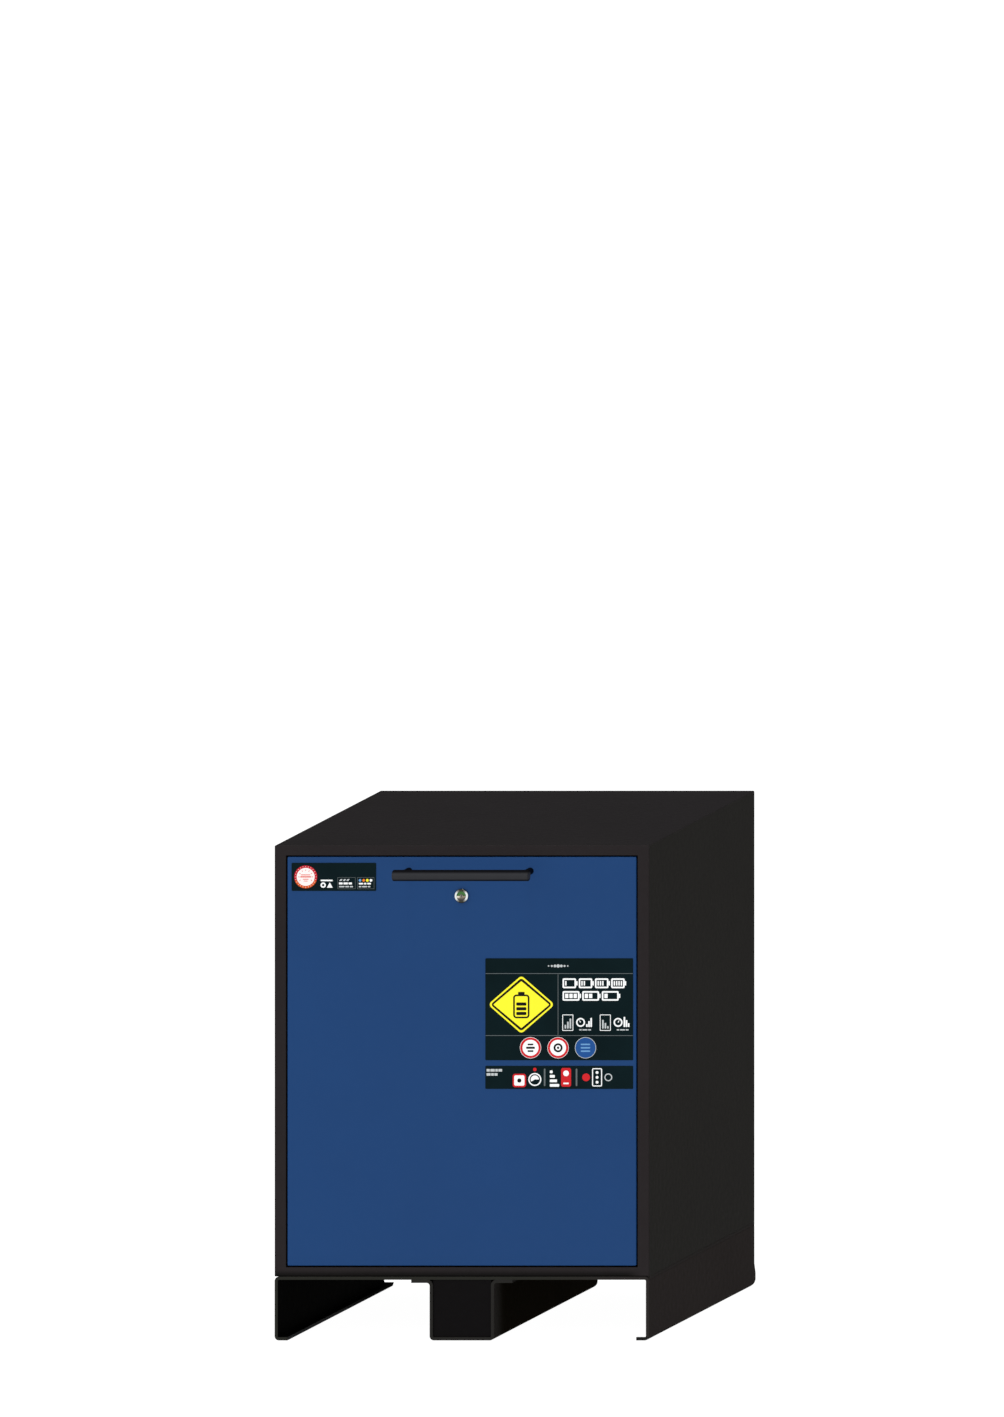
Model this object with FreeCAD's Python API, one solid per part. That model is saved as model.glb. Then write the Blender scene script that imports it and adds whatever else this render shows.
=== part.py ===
import FreeCAD, Part
import math
import os

# Battery charging cabinet for standing under a worktop: a steel cabinet with
# insulated walls and one full-height drawer, on a low steel base that a pallet
# truck can drive under. Millimetres. +X is to the viewer's right, +Y goes back,
# +Z is up. The origin is on the floor, under the middle of the base.

V = FreeCAD.Vector

# ---------------------------------------------------------------- overall size
W = 599.0            # width over the casing
D = 615.0            # depth of the casing, front face to rear sheet
H = 792.0            # height from the floor to the top
HX = W / 2
YF = -D / 2          # front plane
YB = D / 2           # rear plane

# ------------------------------------------------------------------------ base
BASE_H = 102.0       # height of the base
BASE_T = 5.0         # its sheet
BASE_R = 7.0         # outer bend radius
BASE_LIP = 20.5      # inward lip along the floor, full length on the left
LIP_TAB = 4.0        # on the right it is only a tab this deep at the front
BASE_BACK = 7.0      # low down, the base runs this far past the rear sheet
HEEL_Z0, HEEL_Z1 = 20.0, 36.0     # its rear edge slopes back to the rear sheet between these heights
CH_HX = 51.5         # centre channel, half width
CH_FLANGE = 29.5     # its welding flanges
CH_BACK = 10.0       # the channel stops this far before the rear sheet
BOLT_X, BOLT_Y = 200.0, 220.0
CLIP_Y, CLIP_Z = 31.0, 9.5        # clipped rear lower corner of the right wall

# ---------------------------------------------------------------------- casing
Z0 = BASE_H          # underside of the casing
T = 1.5              # casing sheet
EDGE_R = 2.0         # top side edges
FLOOR_R = 3.0        # rounded lower front edge
FRAME_SIDE = 18.0    # visible face frame, at the sides
FRAME_TOP = 16.0     # along the top
FRAME_BOTTOM = 15.0  # and along the bottom
FRONT_GAP = 2.5      # round the drawer front
INS = 38.0           # insulation board, sides, top and bottom
INS_BACK = 40.0
LIN = 12.0           # inner lining board
JAMB_Y = -258.0      # front ends of the walls

OPX = HX - FRAME_SIDE
OPZ0 = Z0 + FRAME_BOTTOM
OPZ1 = H - FRAME_TOP
INX = HX - 3.0 - INS - LIN        # inner half width, 246.5
INZ0 = Z0 + T + INS + LIN         # inner floor, 153.5
INZ1 = H - T - INS - LIN          # inner ceiling, 740.5
FLANGE_Y = YB - 2 * T             # front of the rear flange, 304.5
INY1 = FLANGE_Y - INS_BACK - LIN  # inner back, 252.5
LINX = INX + LIN                  # 258.5
LINY = INY1 + LIN                 # 264.5
LINZ0 = INZ0 - LIN                # 141.5
LINZ1 = INZ1 + LIN                # 752.5

# ---------------------------------------------------------------- drawer front
FX = OPX - FRONT_GAP              # 279
FZ0 = OPZ0 + FRONT_GAP            # 119.5
FZ1 = OPZ1 - FRONT_GAP            # 773.5
F_T = 45.0                        # thickness of the insulated front
FYB = YF + F_T                    # its rear face, -262.5
BACKPLATE_T = 1.5

HANDLE_CC = 194.0                 # handle fixing centres
HANDLE_X = 12.5                   # middle of the handle
HANDLE_L = 218.0
HANDLE_R = 9.0
HANDLE_Z = 751.0
HANDLE_OUT = 50.0                 # bar axis in front of the front face
POST_R = 5.6

LOCK_Z = 711.5
LOCK_R = 11.2                     # bezel
LOCK_OUT = 3.6                    # how far the bezel stands out
WINDOW_R = 7.5                    # half-moon window
BARREL_R = 9.5
PLUG_R = 7.0
HEAD_R = 2.4
CAM_L = 38.0
POCKET_X = 32.0                   # half width of the cam's pocket

# label plates: x0, x1, z0, z1 on the front face
LABELS = [(-272.2, -137.0, 719.3, 764.1), (37.8, 274.1, 448.4, 611.4), (37.8, 274.1, 402.5, 439.3)]
LABEL_T = 0.5

# ------------------------------------------------------------------ drawer box
SX = 227.5                        # outer faces of the drawer sides
ST = 1.5
SZ0, SZ1 = 178.0, 380.0
GUSSET_Z = 640.0
DBY = 229.5                       # rear face of the drawer's back
TRAY_Z1 = 202.0
PERF_Z = 205.0

# ---------------------------------------------------------------------- slides
RAIL_Z = 225.0                    # centre height
RAIL_L0, RAIL_L1 = -252.0, 238.0  # cabinet and middle members
DRAIL_L0, DRAIL_L1 = -260.0, 228.0
CAGE_O = (-130.0, 116.0)
CAGE_I = (-130.0, 106.0)
BALLS = 7

# ------------------------------------------------------------- air and current
DUCT_Z = 690.0
DUCT_X = 150.0
DUCT_R = 37.5
DUCT_T = 1.5
SPIGOT_OUT = 30.0
FLAP_Y = 292.0
FLAP_R = 35.4
GLAND_X, GLAND_Z = 215.0, 300.0
EARTH_X, EARTH_Z = 215.0, 175.0

STRIP_X = 190.0
STRIP_Z0, STRIP_Z1 = 322.0, 372.0
STRIP_Y0, STRIP_Y1 = 178.0, 228.0
SOCKET_PITCH = 50.0
SOCKETS = [-125.0, -75.0, -25.0, 25.0, 75.0]
SWITCH_X = 125.0


def box(x0, x1, y0, y1, z0, z1):
    return Part.makeBox(x1 - x0, y1 - y0, z1 - z0, V(x0, y0, z0))


def cyl(x, y, z, r, h, d):
    return Part.makeCylinder(r, h, V(x, y, z), V(*d))


def hexa(x, y, z, af, h, d):
    """A hexagonal prism, af across its flats, from (x, y, z) along d."""
    r = af / math.sqrt(3)
    pts = []
    for i in range(7):
        a = math.radians(60 * i)
        c, s = r * math.cos(a), r * math.sin(a)
        if abs(d[2]) > 0.5:
            pts.append(V(x + c, y + s, z))
        elif abs(d[1]) > 0.5:
            pts.append(V(x + c, y, z + s))
        else:
            pts.append(V(x, y + c, z + s))
    return Part.Face(Part.makePolygon(pts)).extrude(V(*d) * h)


def prism(points, vec):
    pts = [V(*p) for p in points]
    return Part.Face(Part.makePolygon(pts + [pts[0]])).extrude(V(*vec))


def fillet(shape, r, pick):
    """Rounds the edges that pick(middle, direction, edge) takes."""
    edges = []
    for e in shape.Edges:
        if e.Curve.TypeId != "Part::GeomLine":
            continue
        a, b = e.Vertexes[0].Point, e.Vertexes[-1].Point
        d = b - a
        if d.Length < 1e-6:
            continue
        if pick((a + b) * 0.5, d.normalize(), e):
            edges.append(e)
    return shape.makeFillet(r, edges)


def near(a, b, tol=0.01):
    return abs(a - b) < tol


def fuse(*shapes):
    s = shapes[0]
    for o in shapes[1:]:
        s = s.fuse(o)
    return s.removeSplitter()


def cut(shape, *tools):
    return shape.cut(list(tools)) if len(tools) > 1 else shape.cut(tools[0])


def mirror(shape):
    return shape.mirror(V(0, 0, 0), V(1, 0, 0))


parts = {}


def keep(name, *solids):
    found = []
    for s in solids:
        found += s.Solids
    parts[name] = found


# ================================================================== base frame
by0, by1 = YF, YB + BASE_BACK
outer = box(-HX, HX, by0, by1, 0, BASE_H)
outer = fillet(outer, BASE_R, lambda m, d, e: abs(d.y) > 0.9)
inner = box(-HX + BASE_T, HX - BASE_T, by0 - 1, by1 + 1, BASE_T, BASE_H - BASE_T)
inner = fillet(inner, BASE_R - BASE_T, lambda m, d, e: abs(d.y) > 0.9)
frame = outer.cut(inner).cut(box(-HX + BASE_LIP, HX - BASE_LIP, by0 - 1, by1 + 1, -1, BASE_T + 1))
frame = frame.cut(box(HX - BASE_LIP - 1, HX - BASE_R, by0 + LIP_TAB, by1 + 1, -1, BASE_T + 1))
envelope = box(-HX - 1, HX + 1, by0 - 1, by1, 0, BASE_H + 1)
envelope = fillet(envelope, 10.0, lambda m, d, e: abs(d.x) > 0.9 and near(m.y, by1) and near(m.z, 0))
frame = frame.common(envelope)
q0, q1 = V(0, by1 - CLIP_Y, 0), V(0, by1, CLIP_Z)
q2, q3 = V(0, by1 + 12, CLIP_Z), V(0, by1 - CLIP_Y, -12)
bow = Part.Arc(q0, V(0, by1 - 0.293 * CLIP_Y, 0.293 * CLIP_Z), q1).toShape()
clip = Part.Face(Part.Wire([bow, Part.makeLine(q1, q2), Part.makeLine(q2, q3), Part.makeLine(q3, q0)]))
frame = frame.cut(clip.extrude(V(HX + 10, 0, 0)))
run = (HEEL_Z1 - HEEL_Z0) / BASE_BACK
frame = frame.cut(prism([(-HX - 1, YB, HEEL_Z1), (-HX - 1, by1 + 1, HEEL_Z0 - run), (-HX - 1, by1 + 1, BASE_H + 1), (-HX - 1, YB, BASE_H + 1)], (2 * HX + 2, 0, 0)))
bolt_xy = [(sx * BOLT_X, sy * BOLT_Y) for sx in (-1, 1) for sy in (-1, 1)]
for x, y in bolt_xy:
    frame = frame.cut(cyl(x, y, BASE_H - BASE_T - 1, 4.5, BASE_T + 2, (0, 0, 1)))
keep("base_frame", frame)

# centre channel: a hat section under the top plate
ztop = BASE_H - BASE_T
ch1 = YB - CH_BACK
u_out = box(-CH_HX, CH_HX, by0, ch1, 0, ztop)
u_out = fillet(u_out, BASE_R, lambda m, d, e: abs(d.y) > 0.9 and near(m.z, 0))
u_in = box(-CH_HX + BASE_T, CH_HX - BASE_T, by0 - 1, ch1 + 1, BASE_T, ztop + 10)
u_in = fillet(u_in, BASE_R - BASE_T, lambda m, d, e: abs(d.y) > 0.9 and near(m.z, BASE_T))
hat = u_out.fuse(box(-CH_HX - CH_FLANGE, CH_HX + CH_FLANGE, by0, ch1, ztop - BASE_T, ztop)).removeSplitter()
hat = fillet(hat, 5.0, lambda m, d, e: abs(d.y) > 0.9 and near(m.z, ztop - BASE_T) and near(abs(m.x), CH_HX))
hat = hat.cut(u_in)
hat = fillet(hat, 9.0, lambda m, d, e: abs(d.y) > 0.9 and near(m.z, ztop) and near(abs(m.x), CH_HX - BASE_T))
corner = box(-CH_HX - 1, CH_HX + 1, by0 - 1, ch1, 0, ztop + 1)
corner = fillet(corner, 12.0, lambda m, d, e: abs(d.x) > 0.9 and near(m.y, ch1) and near(m.z, 0))
hat = hat.cut(box(-CH_HX - 1, CH_HX + 1, ch1 - 13, ch1 + 1, -1, 13).cut(corner))
keep("base_channel", hat)

plate = box(-CH_HX + BASE_T, CH_HX - BASE_T, 0, 3, BASE_T, ztop)
plate = plate.cut(prism([(-CH_HX, -1, 0), (-CH_HX + BASE_T + 3.0, -1, BASE_T), (-CH_HX + BASE_T, -1, BASE_T + 3.0), (-CH_HX, -1, BASE_T + 3)], (0, 5, 0)))
plate = plate.cut(prism([(CH_HX, -1, 0), (CH_HX - BASE_T - 3.0, -1, BASE_T), (CH_HX - BASE_T, -1, BASE_T + 3.0), (CH_HX, -1, BASE_T + 3)], (0, 5, 0)))
keep("channel_end_plates", plate.translated(V(0, YF + 2.0, 0)), plate.translated(V(0, ch1 - 17.0, 0)))

# beads that fill the grooves between the casing and the base's bent shoulders
seal = box(HX - 4.0, HX, YF + 3.2, YB, Z0 - 4.4, Z0).cut(cyl(HX - BASE_R, YF, Z0 - BASE_R, BASE_R + 0.3, D + 2, (0, 1, 0)))
seal_left = seal.mirror(V(0, 0, 0), V(1, 0, 0)).cut(box(-HX - 1, -HX + 10, YF, YF + 26, Z0 - 9, Z0 + 1))
keep("side_seals", seal, seal_left)

bolts = []
for x, y in bolt_xy:
    b = hexa(x, y, ztop - 5.3, 13.0, 5.3, (0, 0, 1)).fuse(cyl(x, y, ztop - 5.3, 4.0, 23.0, (0, 0, 1))).removeSplitter()
    bolts.append(b)
    n = hexa(x, y, Z0 + T, 13.0, 6.5, (0, 0, 1)).cut(cyl(x, y, Z0, 4.05, 12, (0, 0, 1)))
    bolts.append(n)
keep("base_bolts", *bolts)

# ====================================================================== casing
env = box(-HX, HX, YF, YB, Z0, H)
env = fillet(env, FLOOR_R, lambda m, d, e: abs(d.x) > 0.9 and near(m.y, YF) and near(m.z, Z0))
env = fillet(env, EDGE_R, lambda m, d, e: abs(d.y) > 0.9 and near(m.z, H))
env = fillet(env, 0.8, lambda m, d, e: near(m.y, YF) and (abs(d.z) > 0.9 or (abs(d.x) > 0.9 and near(m.z, H))))

# face frame: front flange ring, a return round the opening, and a lip below
ff = box(-HX, HX, YF, YF + T, Z0, H)
lip = box(-HX + T, HX - T, YF + T, YF + 20.5, Z0, Z0 + T)
inner = box(-HX + T, HX - T, YF + T, YF + 40, Z0 + T, H)
inner = fillet(inner, FLOOR_R - T, lambda m, d, e: abs(d.x) > 0.9 and near(m.y, YF + T) and near(m.z, Z0 + T))
corner = box(-HX + T, HX - T, YF, YF + FLOOR_R, Z0, Z0 + FLOOR_R).cut(inner)
ff = fuse(ff, lip, corner)
tube = box(-OPX - T, OPX + T, YF + T, JAMB_Y - T, OPZ0 - T, OPZ1 + T)
ff = fuse(ff, tube).cut(box(-OPX, OPX, YF - 5, JAMB_Y + 5, OPZ0, OPZ1))
ff = ff.common(env).removeSplitter()
keep("face_frame", ff)

# one-piece wrap: left side, top and right side, with flanges turned in at the rear
wrap = box(-HX, HX, YF + T, YB - T, Z0, H)
wrap = wrap.cut(fillet(box(-HX + T, HX - T, YF - 5, FLANGE_Y, Z0 - 5, H - T), 0.5, lambda m, d, e: abs(d.y) > 0.9 and near(m.z, H - T)))
wrap = wrap.cut(box(-HX + 16.5, HX - 16.5, FLANGE_Y - 1, YB + 1, Z0 - 5, H - 16.5))
wrap = wrap.common(env)
back_holes = [(sx * (HX - 9.0), z) for sx in (-1, 1) for z in (140.0, 340.0, 560.0, 770.0)] + [(sx * 100.0, H - 9.0) for sx in (-1, 1)]
for x, z in back_holes:
    wrap = wrap.cut(cyl(x, FLANGE_Y - 1, z, 2.05, 5, (0, 1, 0)))
keep("casing_wrap", wrap)

back = box(-HX, HX, YB - T, YB, Z0, H).common(env)
floor = fuse(
    box(-HX + T, HX - T, YF + 20.5, YB - T, Z0, Z0 + T),
    box(-HX + T, -HX + 2 * T, YF + 20.5, YB - T, Z0, Z0 + 20),
    box(HX - 2 * T, HX - T, YF + 20.5, YB - T, Z0, Z0 + 20),
)
# the wrap's rear flanges stand inside the floor's side flanges
floor = cut(floor, box(-HX - 1, -HX + 16.5, FLANGE_Y, YB, Z0 - 1, Z0 + 30), box(HX - 16.5, HX + 1, FLANGE_Y, YB, Z0 - 1, Z0 + 30))
for x, y in bolt_xy:
    floor = floor.cut(cyl(x, y, Z0 - 1, 4.5, 5, (0, 0, 1)))
keep("casing_floor", floor)

for x, z in back_holes:
    back = back.cut(cyl(x, YB - 3, z, 2.05, 5, (0, 1, 0)))
for sx in (-1, 1):
    back = back.cut(cyl(sx * DUCT_X, YB - 3, DUCT_Z, DUCT_R + 0.5, 5, (0, 1, 0)))
back = back.cut(cyl(GLAND_X, YB - 3, GLAND_Z, 12.6, 5, (0, 1, 0)))
back = back.cut(cyl(EARTH_X, YB - 3, EARTH_Z, 3.7, 5, (0, 1, 0)))
spigot_screws = []
for sx in (-1, 1):
    for a in (45, 135, 225, 315):
        spigot_screws.append((sx * DUCT_X + 44.0 * math.cos(math.radians(a)), DUCT_Z + 44.0 * math.sin(math.radians(a))))
for x, z in spigot_screws:
    back = back.cut(cyl(x, YB - 3, z, 2.05, 5, (0, 1, 0)))
keep("casing_back", back)

screws = []
for x, z in back_holes:
    screws.append(fuse(cyl(x, YB - 3.0, z, 2.0, 3.0, (0, 1, 0)), cyl(x, YB, z, 4.0, 1.8, (0, 1, 0))))
for x, z in spigot_screws:
    screws.append(fuse(cyl(x, YB - 2.9, z, 2.0, 4.9, (0, 1, 0)), cyl(x, YB + 2.0, z, 3.8, 1.8, (0, 1, 0))))
keep("back_screws", *screws)

# jamb: closes the front ends of the walls behind the drawer front
jamb = box(-OPX - T, OPX + T, JAMB_Y - T, JAMB_Y, OPZ0 - T, OPZ1 + T).cut(box(-INX, INX, JAMB_Y - 5, JAMB_Y + 5, INZ0, INZ1))
keep("jamb_frame", jamb)


# board strips that fill the hollow between the face frame and the casing
fo = fillet(box(-HX + T, HX - T, YF + 21.0, JAMB_Y, Z0 + T, H - T), 0.6, lambda m, d, e: abs(d.y) > 0.9 and near(m.z, H - T))
fo = fo.cut(box(-OPX - T, OPX + T, YF, JAMB_Y + 1, OPZ0 - T, OPZ1 + T))
fo = cut(fo, box(-HX, -HX + 2 * T, YF, JAMB_Y + 1, Z0, Z0 + 20), box(HX - 2 * T, HX, YF, JAMB_Y + 1, Z0, Z0 + 20))
parts_fill = [
    fo.common(box(-HX, -OPX - T, YF, JAMB_Y, Z0, H)),
    fo.common(box(OPX + T, HX, YF, JAMB_Y, Z0, H)),
    fo.common(box(-OPX - T, OPX + T, YF, JAMB_Y, OPZ1, H)),
    fo.common(box(-OPX - T, OPX + T, YF, JAMB_Y, Z0, OPZ0)),
]
keep("frame_fillers", *parts_fill)


def ring(x0, z0, z1, w, ya, yb, r=0.0):
    """A rectangular ring w wide, whose inner edge is at x0, z0 and z1."""
    o = box(-x0 - w, x0 + w, ya, yb, z0 - w, z1 + w)
    i = box(-x0, x0, ya - 1, yb + 1, z0, z1)
    if r:
        o = fillet(o, r + w * 0.5, lambda m, d, e: abs(d.y) > 0.9)
        i = fillet(i, r, lambda m, d, e: abs(d.y) > 0.9)
    return o.cut(i)


keep("intumescent_strip", ring(INX + 2.5, INZ0 - 2.5, INZ1 + 2.5, 10.0, JAMB_Y - T - 2.0, JAMB_Y - T))
gasket = ring(262.0, 140.0, 757.5, 10.0, FYB, FYB + 2.7, 4.0)
groove = ring(265.5, 136.5, 761.0, 3.0, FYB + 1.7, FYB + 3.0, 5.0)
keep("front_gasket", gasket.cut(groove))

# ================================================================== insulation
def drilled(shape, holes):
    for h in holes:
        shape = shape.cut(h)
    return shape


ins_back = box(-LINX, LINX, LINY, FLANGE_Y, LINZ0, LINZ1)
holes = [cyl(sx * DUCT_X, LINY - 1, DUCT_Z, DUCT_R + 0.5, INS_BACK + 2, (0, 1, 0)) for sx in (-1, 1)]
holes += [cyl(GLAND_X, LINY - 1, GLAND_Z, 9.0, INS_BACK + 2, (0, 1, 0)), cyl(GLAND_X, 293.0, GLAND_Z, 20.0, 20.0, (0, 1, 0))]
holes += [cyl(EARTH_X, 296.0, EARTH_Z, 10.0, 10.0, (0, 1, 0))]
keep("insulation_back", drilled(ins_back, holes))

ins_top = box(-LINX, LINX, JAMB_Y, FLANGE_Y, LINZ1, H - T)
keep("insulation_top", ins_top)
ins_bot = box(-LINX, LINX, JAMB_Y, FLANGE_Y, Z0 + T, LINZ0)
ins_bot = drilled(ins_bot, [cyl(x, y, Z0, 9.0, 14.0, (0, 0, 1)) for x, y in bolt_xy])
keep("insulation_bottom", ins_bot)
side = box(LINX, LINX + INS, JAMB_Y, FLANGE_Y, Z0 + T, H - T)
keep("insulation_sides", side, mirror(side))

# ====================================================================== lining
rail_screw_y = (-200.0, 0.0, 200.0)
lin_side = box(INX, LINX, JAMB_Y, LINY, LINZ0, LINZ1)
for y in rail_screw_y:
    lin_side = lin_side.cut(cyl(INX - 1, y, RAIL_Z, 2.55, 12.0, (1, 0, 0)))
keep("liner_sides", lin_side, mirror(lin_side))
pocket = box(-POCKET_X, POCKET_X, JAMB_Y, -238, INZ1 - 1, LINZ1)
lin_top = box(-INX, INX, JAMB_Y, LINY, INZ1, LINZ1).cut(pocket)
for x in (-POCKET_X - 4.0, POCKET_X + 4.0):
    lin_top = lin_top.cut(cyl(x, -233, INZ1 - 1, 2.05, 11.0, (0, 0, 1)))
keep("liner_top", lin_top)
keep("liner_bottom", box(-INX, INX, JAMB_Y, LINY, LINZ0, INZ0))
lin_back = box(-INX, INX, INY1, LINY, INZ0, INZ1)
holes = [cyl(sx * DUCT_X, INY1 - 1, DUCT_Z, DUCT_R + 0.5, LIN + 2, (0, 1, 0)) for sx in (-1, 1)]
holes += [cyl(GLAND_X, INY1 - 1, GLAND_Z, 9.0, LIN + 2, (0, 1, 0))]
keep("liner_back", drilled(lin_back, holes))

sw = POCKET_X + 10.0
strike = fuse(
    box(-sw, sw, JAMB_Y, -224, INZ1 - 2.0, INZ1),
    box(-POCKET_X + 0.5, POCKET_X - 0.5, JAMB_Y + 0.2, JAMB_Y + 3.2, INZ1 - 2.0, LINZ1 - 1.0),
)
strike = strike.cut(box(-POCKET_X + 2.5, POCKET_X - 2.5, JAMB_Y + 3.2, -242, INZ1 - 5, INZ1 + 0.5))
strike = fillet(strike, 4.0, lambda m, d, e: abs(d.z) > 0.9 and near(abs(m.x), sw) and near(m.y, -224))
for x in (-POCKET_X - 4.0, POCKET_X + 4.0):
    strike = strike.cut(cyl(x, -233, INZ1 - 3, 2.05, 5, (0, 0, 1)))
strike_screws = [fuse(cyl(x, -233, INZ1 - 2.0, 2.0, 11.0, (0, 0, 1)), cyl(x, -233, INZ1 - 3.6, 3.8, 1.6, (0, 0, 1))) for x in (-POCKET_X - 4.0, POCKET_X + 4.0)]
keep("strike_plate", strike, *strike_screws)

# ============================================================ air and current
def spigot(x):
    tube = cyl(x, INY1 + 0.5, DUCT_Z, DUCT_R, YB + SPIGOT_OUT - INY1 - 0.5, (0, 1, 0))
    flange = cyl(x, YB, DUCT_Z, 50.0, 2.0, (0, 1, 0))
    s = fuse(tube, flange)
    s = s.cut(cyl(x, INY1 - 5, DUCT_Z, DUCT_R - DUCT_T, YB + SPIGOT_OUT + 20 - INY1, (0, 1, 0)))
    s = s.cut(cyl(x - DUCT_R - 1, FLAP_Y, DUCT_Z, 3.05, 2 * DUCT_R + 2, (1, 0, 0)))
    for dx, dz in [(44.0 * math.cos(math.radians(a)), 44.0 * math.sin(math.radians(a))) for a in (45, 135, 225, 315)]:
        s = s.cut(cyl(x + dx, YB - 1, DUCT_Z + dz, 2.05, 5, (0, 1, 0)))
    return s


def flap(x):
    disc = cyl(x, FLAP_Y, DUCT_Z - 1.0, FLAP_R, 2.0, (0, 0, 1))
    shaft = cyl(x - DUCT_R + 0.1, FLAP_Y, DUCT_Z, 3.0, 2 * DUCT_R - 0.2, (1, 0, 0))
    return fuse(disc, shaft)


keep("duct_spigots", spigot(DUCT_X), spigot(-DUCT_X))
keep("exhaust_flap", flap(DUCT_X))
keep("supply_flap", flap(-DUCT_X))

grille = cyl(DUCT_X, INY1 - 3.0, DUCT_Z, 46.0, 3.0, (0, 1, 0))
for i in range(-3, 4):
    dx = 9.5 * i
    half = math.sqrt(max(0.0, 37.0 ** 2 - (abs(dx) + 3) ** 2))
    grille = grille.cut(box(DUCT_X + dx - 3, DUCT_X + dx + 3, INY1 - 5, INY1 + 1, DUCT_Z - half, DUCT_Z + half))
keep("exhaust_grille", grille)

duct = box(-DUCT_X - 42, -DUCT_X + 42, INY1 - 19.0, INY1, INZ0 + 12, INZ1 - 8)
duct = fillet(duct, 3.0, lambda m, d, e: near(m.y, INY1 - 19.0) and (abs(d.z) > 0.9 or near(m.z, INZ1 - 8)))
duct = duct.cut(box(-DUCT_X - 41, -DUCT_X + 41, INY1 - 18.0, INY1 + 1, INZ0 - 5, INZ1 - 9))
duct = fuse(duct, box(-DUCT_X - 54, -DUCT_X - 41, INY1 - 1.0, INY1, INZ0 + 12, INZ1 - 8), box(-DUCT_X + 41, -DUCT_X + 54, INY1 - 1.0, INY1, INZ0 + 12, INZ1 - 8))
keep("supply_duct", duct)

gland = fuse(
    hexa(GLAND_X, YB, GLAND_Z, 30.0, 7.0, (0, 1, 0)),
    cyl(GLAND_X, YB + 7.0, GLAND_Z, 13.5, 12.0, (0, 1, 0)),
    cyl(GLAND_X, 297.0, GLAND_Z, 12.5, YB - 297.0, (0, 1, 0)),
)
dome = Part.makeCone(13.5, 9.5, 6.0, V(GLAND_X, YB + 19.0, GLAND_Z), V(0, 1, 0))
gland = fuse(gland, dome).cut(cyl(GLAND_X, 290, GLAND_Z, 6.5, 60, (0, 1, 0)))
locknut = hexa(GLAND_X, 299.0, GLAND_Z, 30.0, 5.5, (0, 1, 0)).cut(cyl(GLAND_X, 298, GLAND_Z, 12.55, 10, (0, 1, 0)))
locknut = locknut.translated(V(0, 1.5, 0))
bush = fuse(cyl(GLAND_X, INY1 - 3.0, GLAND_Z, 13.0, 3.0, (0, 1, 0)), cyl(GLAND_X, INY1, GLAND_Z, 8.9, LIN, (0, 1, 0)))
bush = bush.cut(cyl(GLAND_X, INY1 - 5, GLAND_Z, 7.0, LIN + 10, (0, 1, 0)))
keep("cable_gland", gland, locknut, bush)

earth = fuse(
    cyl(EARTH_X, 298.0, EARTH_Z, 3.4, 19.0, (0, 1, 0)),
    cyl(EARTH_X, YB + 8.6, EARTH_Z, 4.0, 17.0, (0, 1, 0)),
    hexa(EARTH_X, 299.0, EARTH_Z, 13.0, 7.0, (0, 1, 0)),
)
washer = cyl(EARTH_X, YB, EARTH_Z, 8.0, 1.5, (0, 1, 0)).cut(cyl(EARTH_X, YB - 1, EARTH_Z, 3.6, 5, (0, 1, 0)))
nut = hexa(EARTH_X, YB + 1.5, EARTH_Z, 13.0, 6.5, (0, 1, 0)).cut(cyl(EARTH_X, YB, EARTH_Z, 3.45, 12, (0, 1, 0)))
keep("earth_stud", earth, washer, nut)

det = fuse(cyl(100, 60, INZ1 - 8.0, 27.0, 8.0, (0, 0, 1)), cyl(100, 60, INZ1 - 22.0, 19.0, 16.0, (0, 0, 1)))
for a in range(0, 180, 45):
    slot = box(-20, 20, -1.6, 1.6, INZ1 - 19.0, INZ1 - 13.0)
    slot.rotate(V(0, 0, 0), V(0, 0, 1), a + 22.5)
    core = cyl(0, 0, INZ1 - 30.0, 14.0, 30, (0, 0, 1))
    det = det.cut(slot.cut(core).translated(V(100, 60, 0)))
keep("heat_detector", det)

# ====================================================================== slides
# u runs from the wall to the drawer, v up and down from the slide's centre
def ub(u0, u1, y0, y1, v0, v1):
    return box(INX - u1, INX - u0, y0, y1, RAIL_Z + v0, RAIL_Z + v1)


crail = fuse(
    ub(0, 2, RAIL_L0, RAIL_L1, -38, 38),
    ub(0, 15, RAIL_L0, RAIL_L1, 36, 38),
    ub(0, 15, RAIL_L0, RAIL_L1, -38, -36),
    ub(13.5, 15, RAIL_L0, RAIL_L1, 34, 38),
    ub(13.5, 15, RAIL_L0, RAIL_L1, -38, -34),
)
for y in rail_screw_y:
    crail = crail.cut(cyl(INX - 3, y, RAIL_Z, 2.6, 5, (1, 0, 0)))
keep("slide_cabinet_rails", crail, mirror(crail))

ss = []
for y in rail_screw_y:
    s = fuse(cyl(INX - 3.6, y, RAIL_Z, 4.4, 1.6, (1, 0, 0)), cyl(INX - 2.0, y, RAIL_Z, 2.5, 12.0, (1, 0, 0)))
    ss += [s, mirror(s)]
keep("slide_rail_screws", *ss)

mrail = fuse(
    ub(4.5, 6.5, RAIL_L0, RAIL_L1, -30, 30),
    ub(4.5, 16, RAIL_L0, RAIL_L1, 28, 30),
    ub(4.5, 16, RAIL_L0, RAIL_L1, -30, -28),
)
keep("slide_middle_right", mrail)
keep("slide_middle_left", mirror(mrail))

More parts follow.
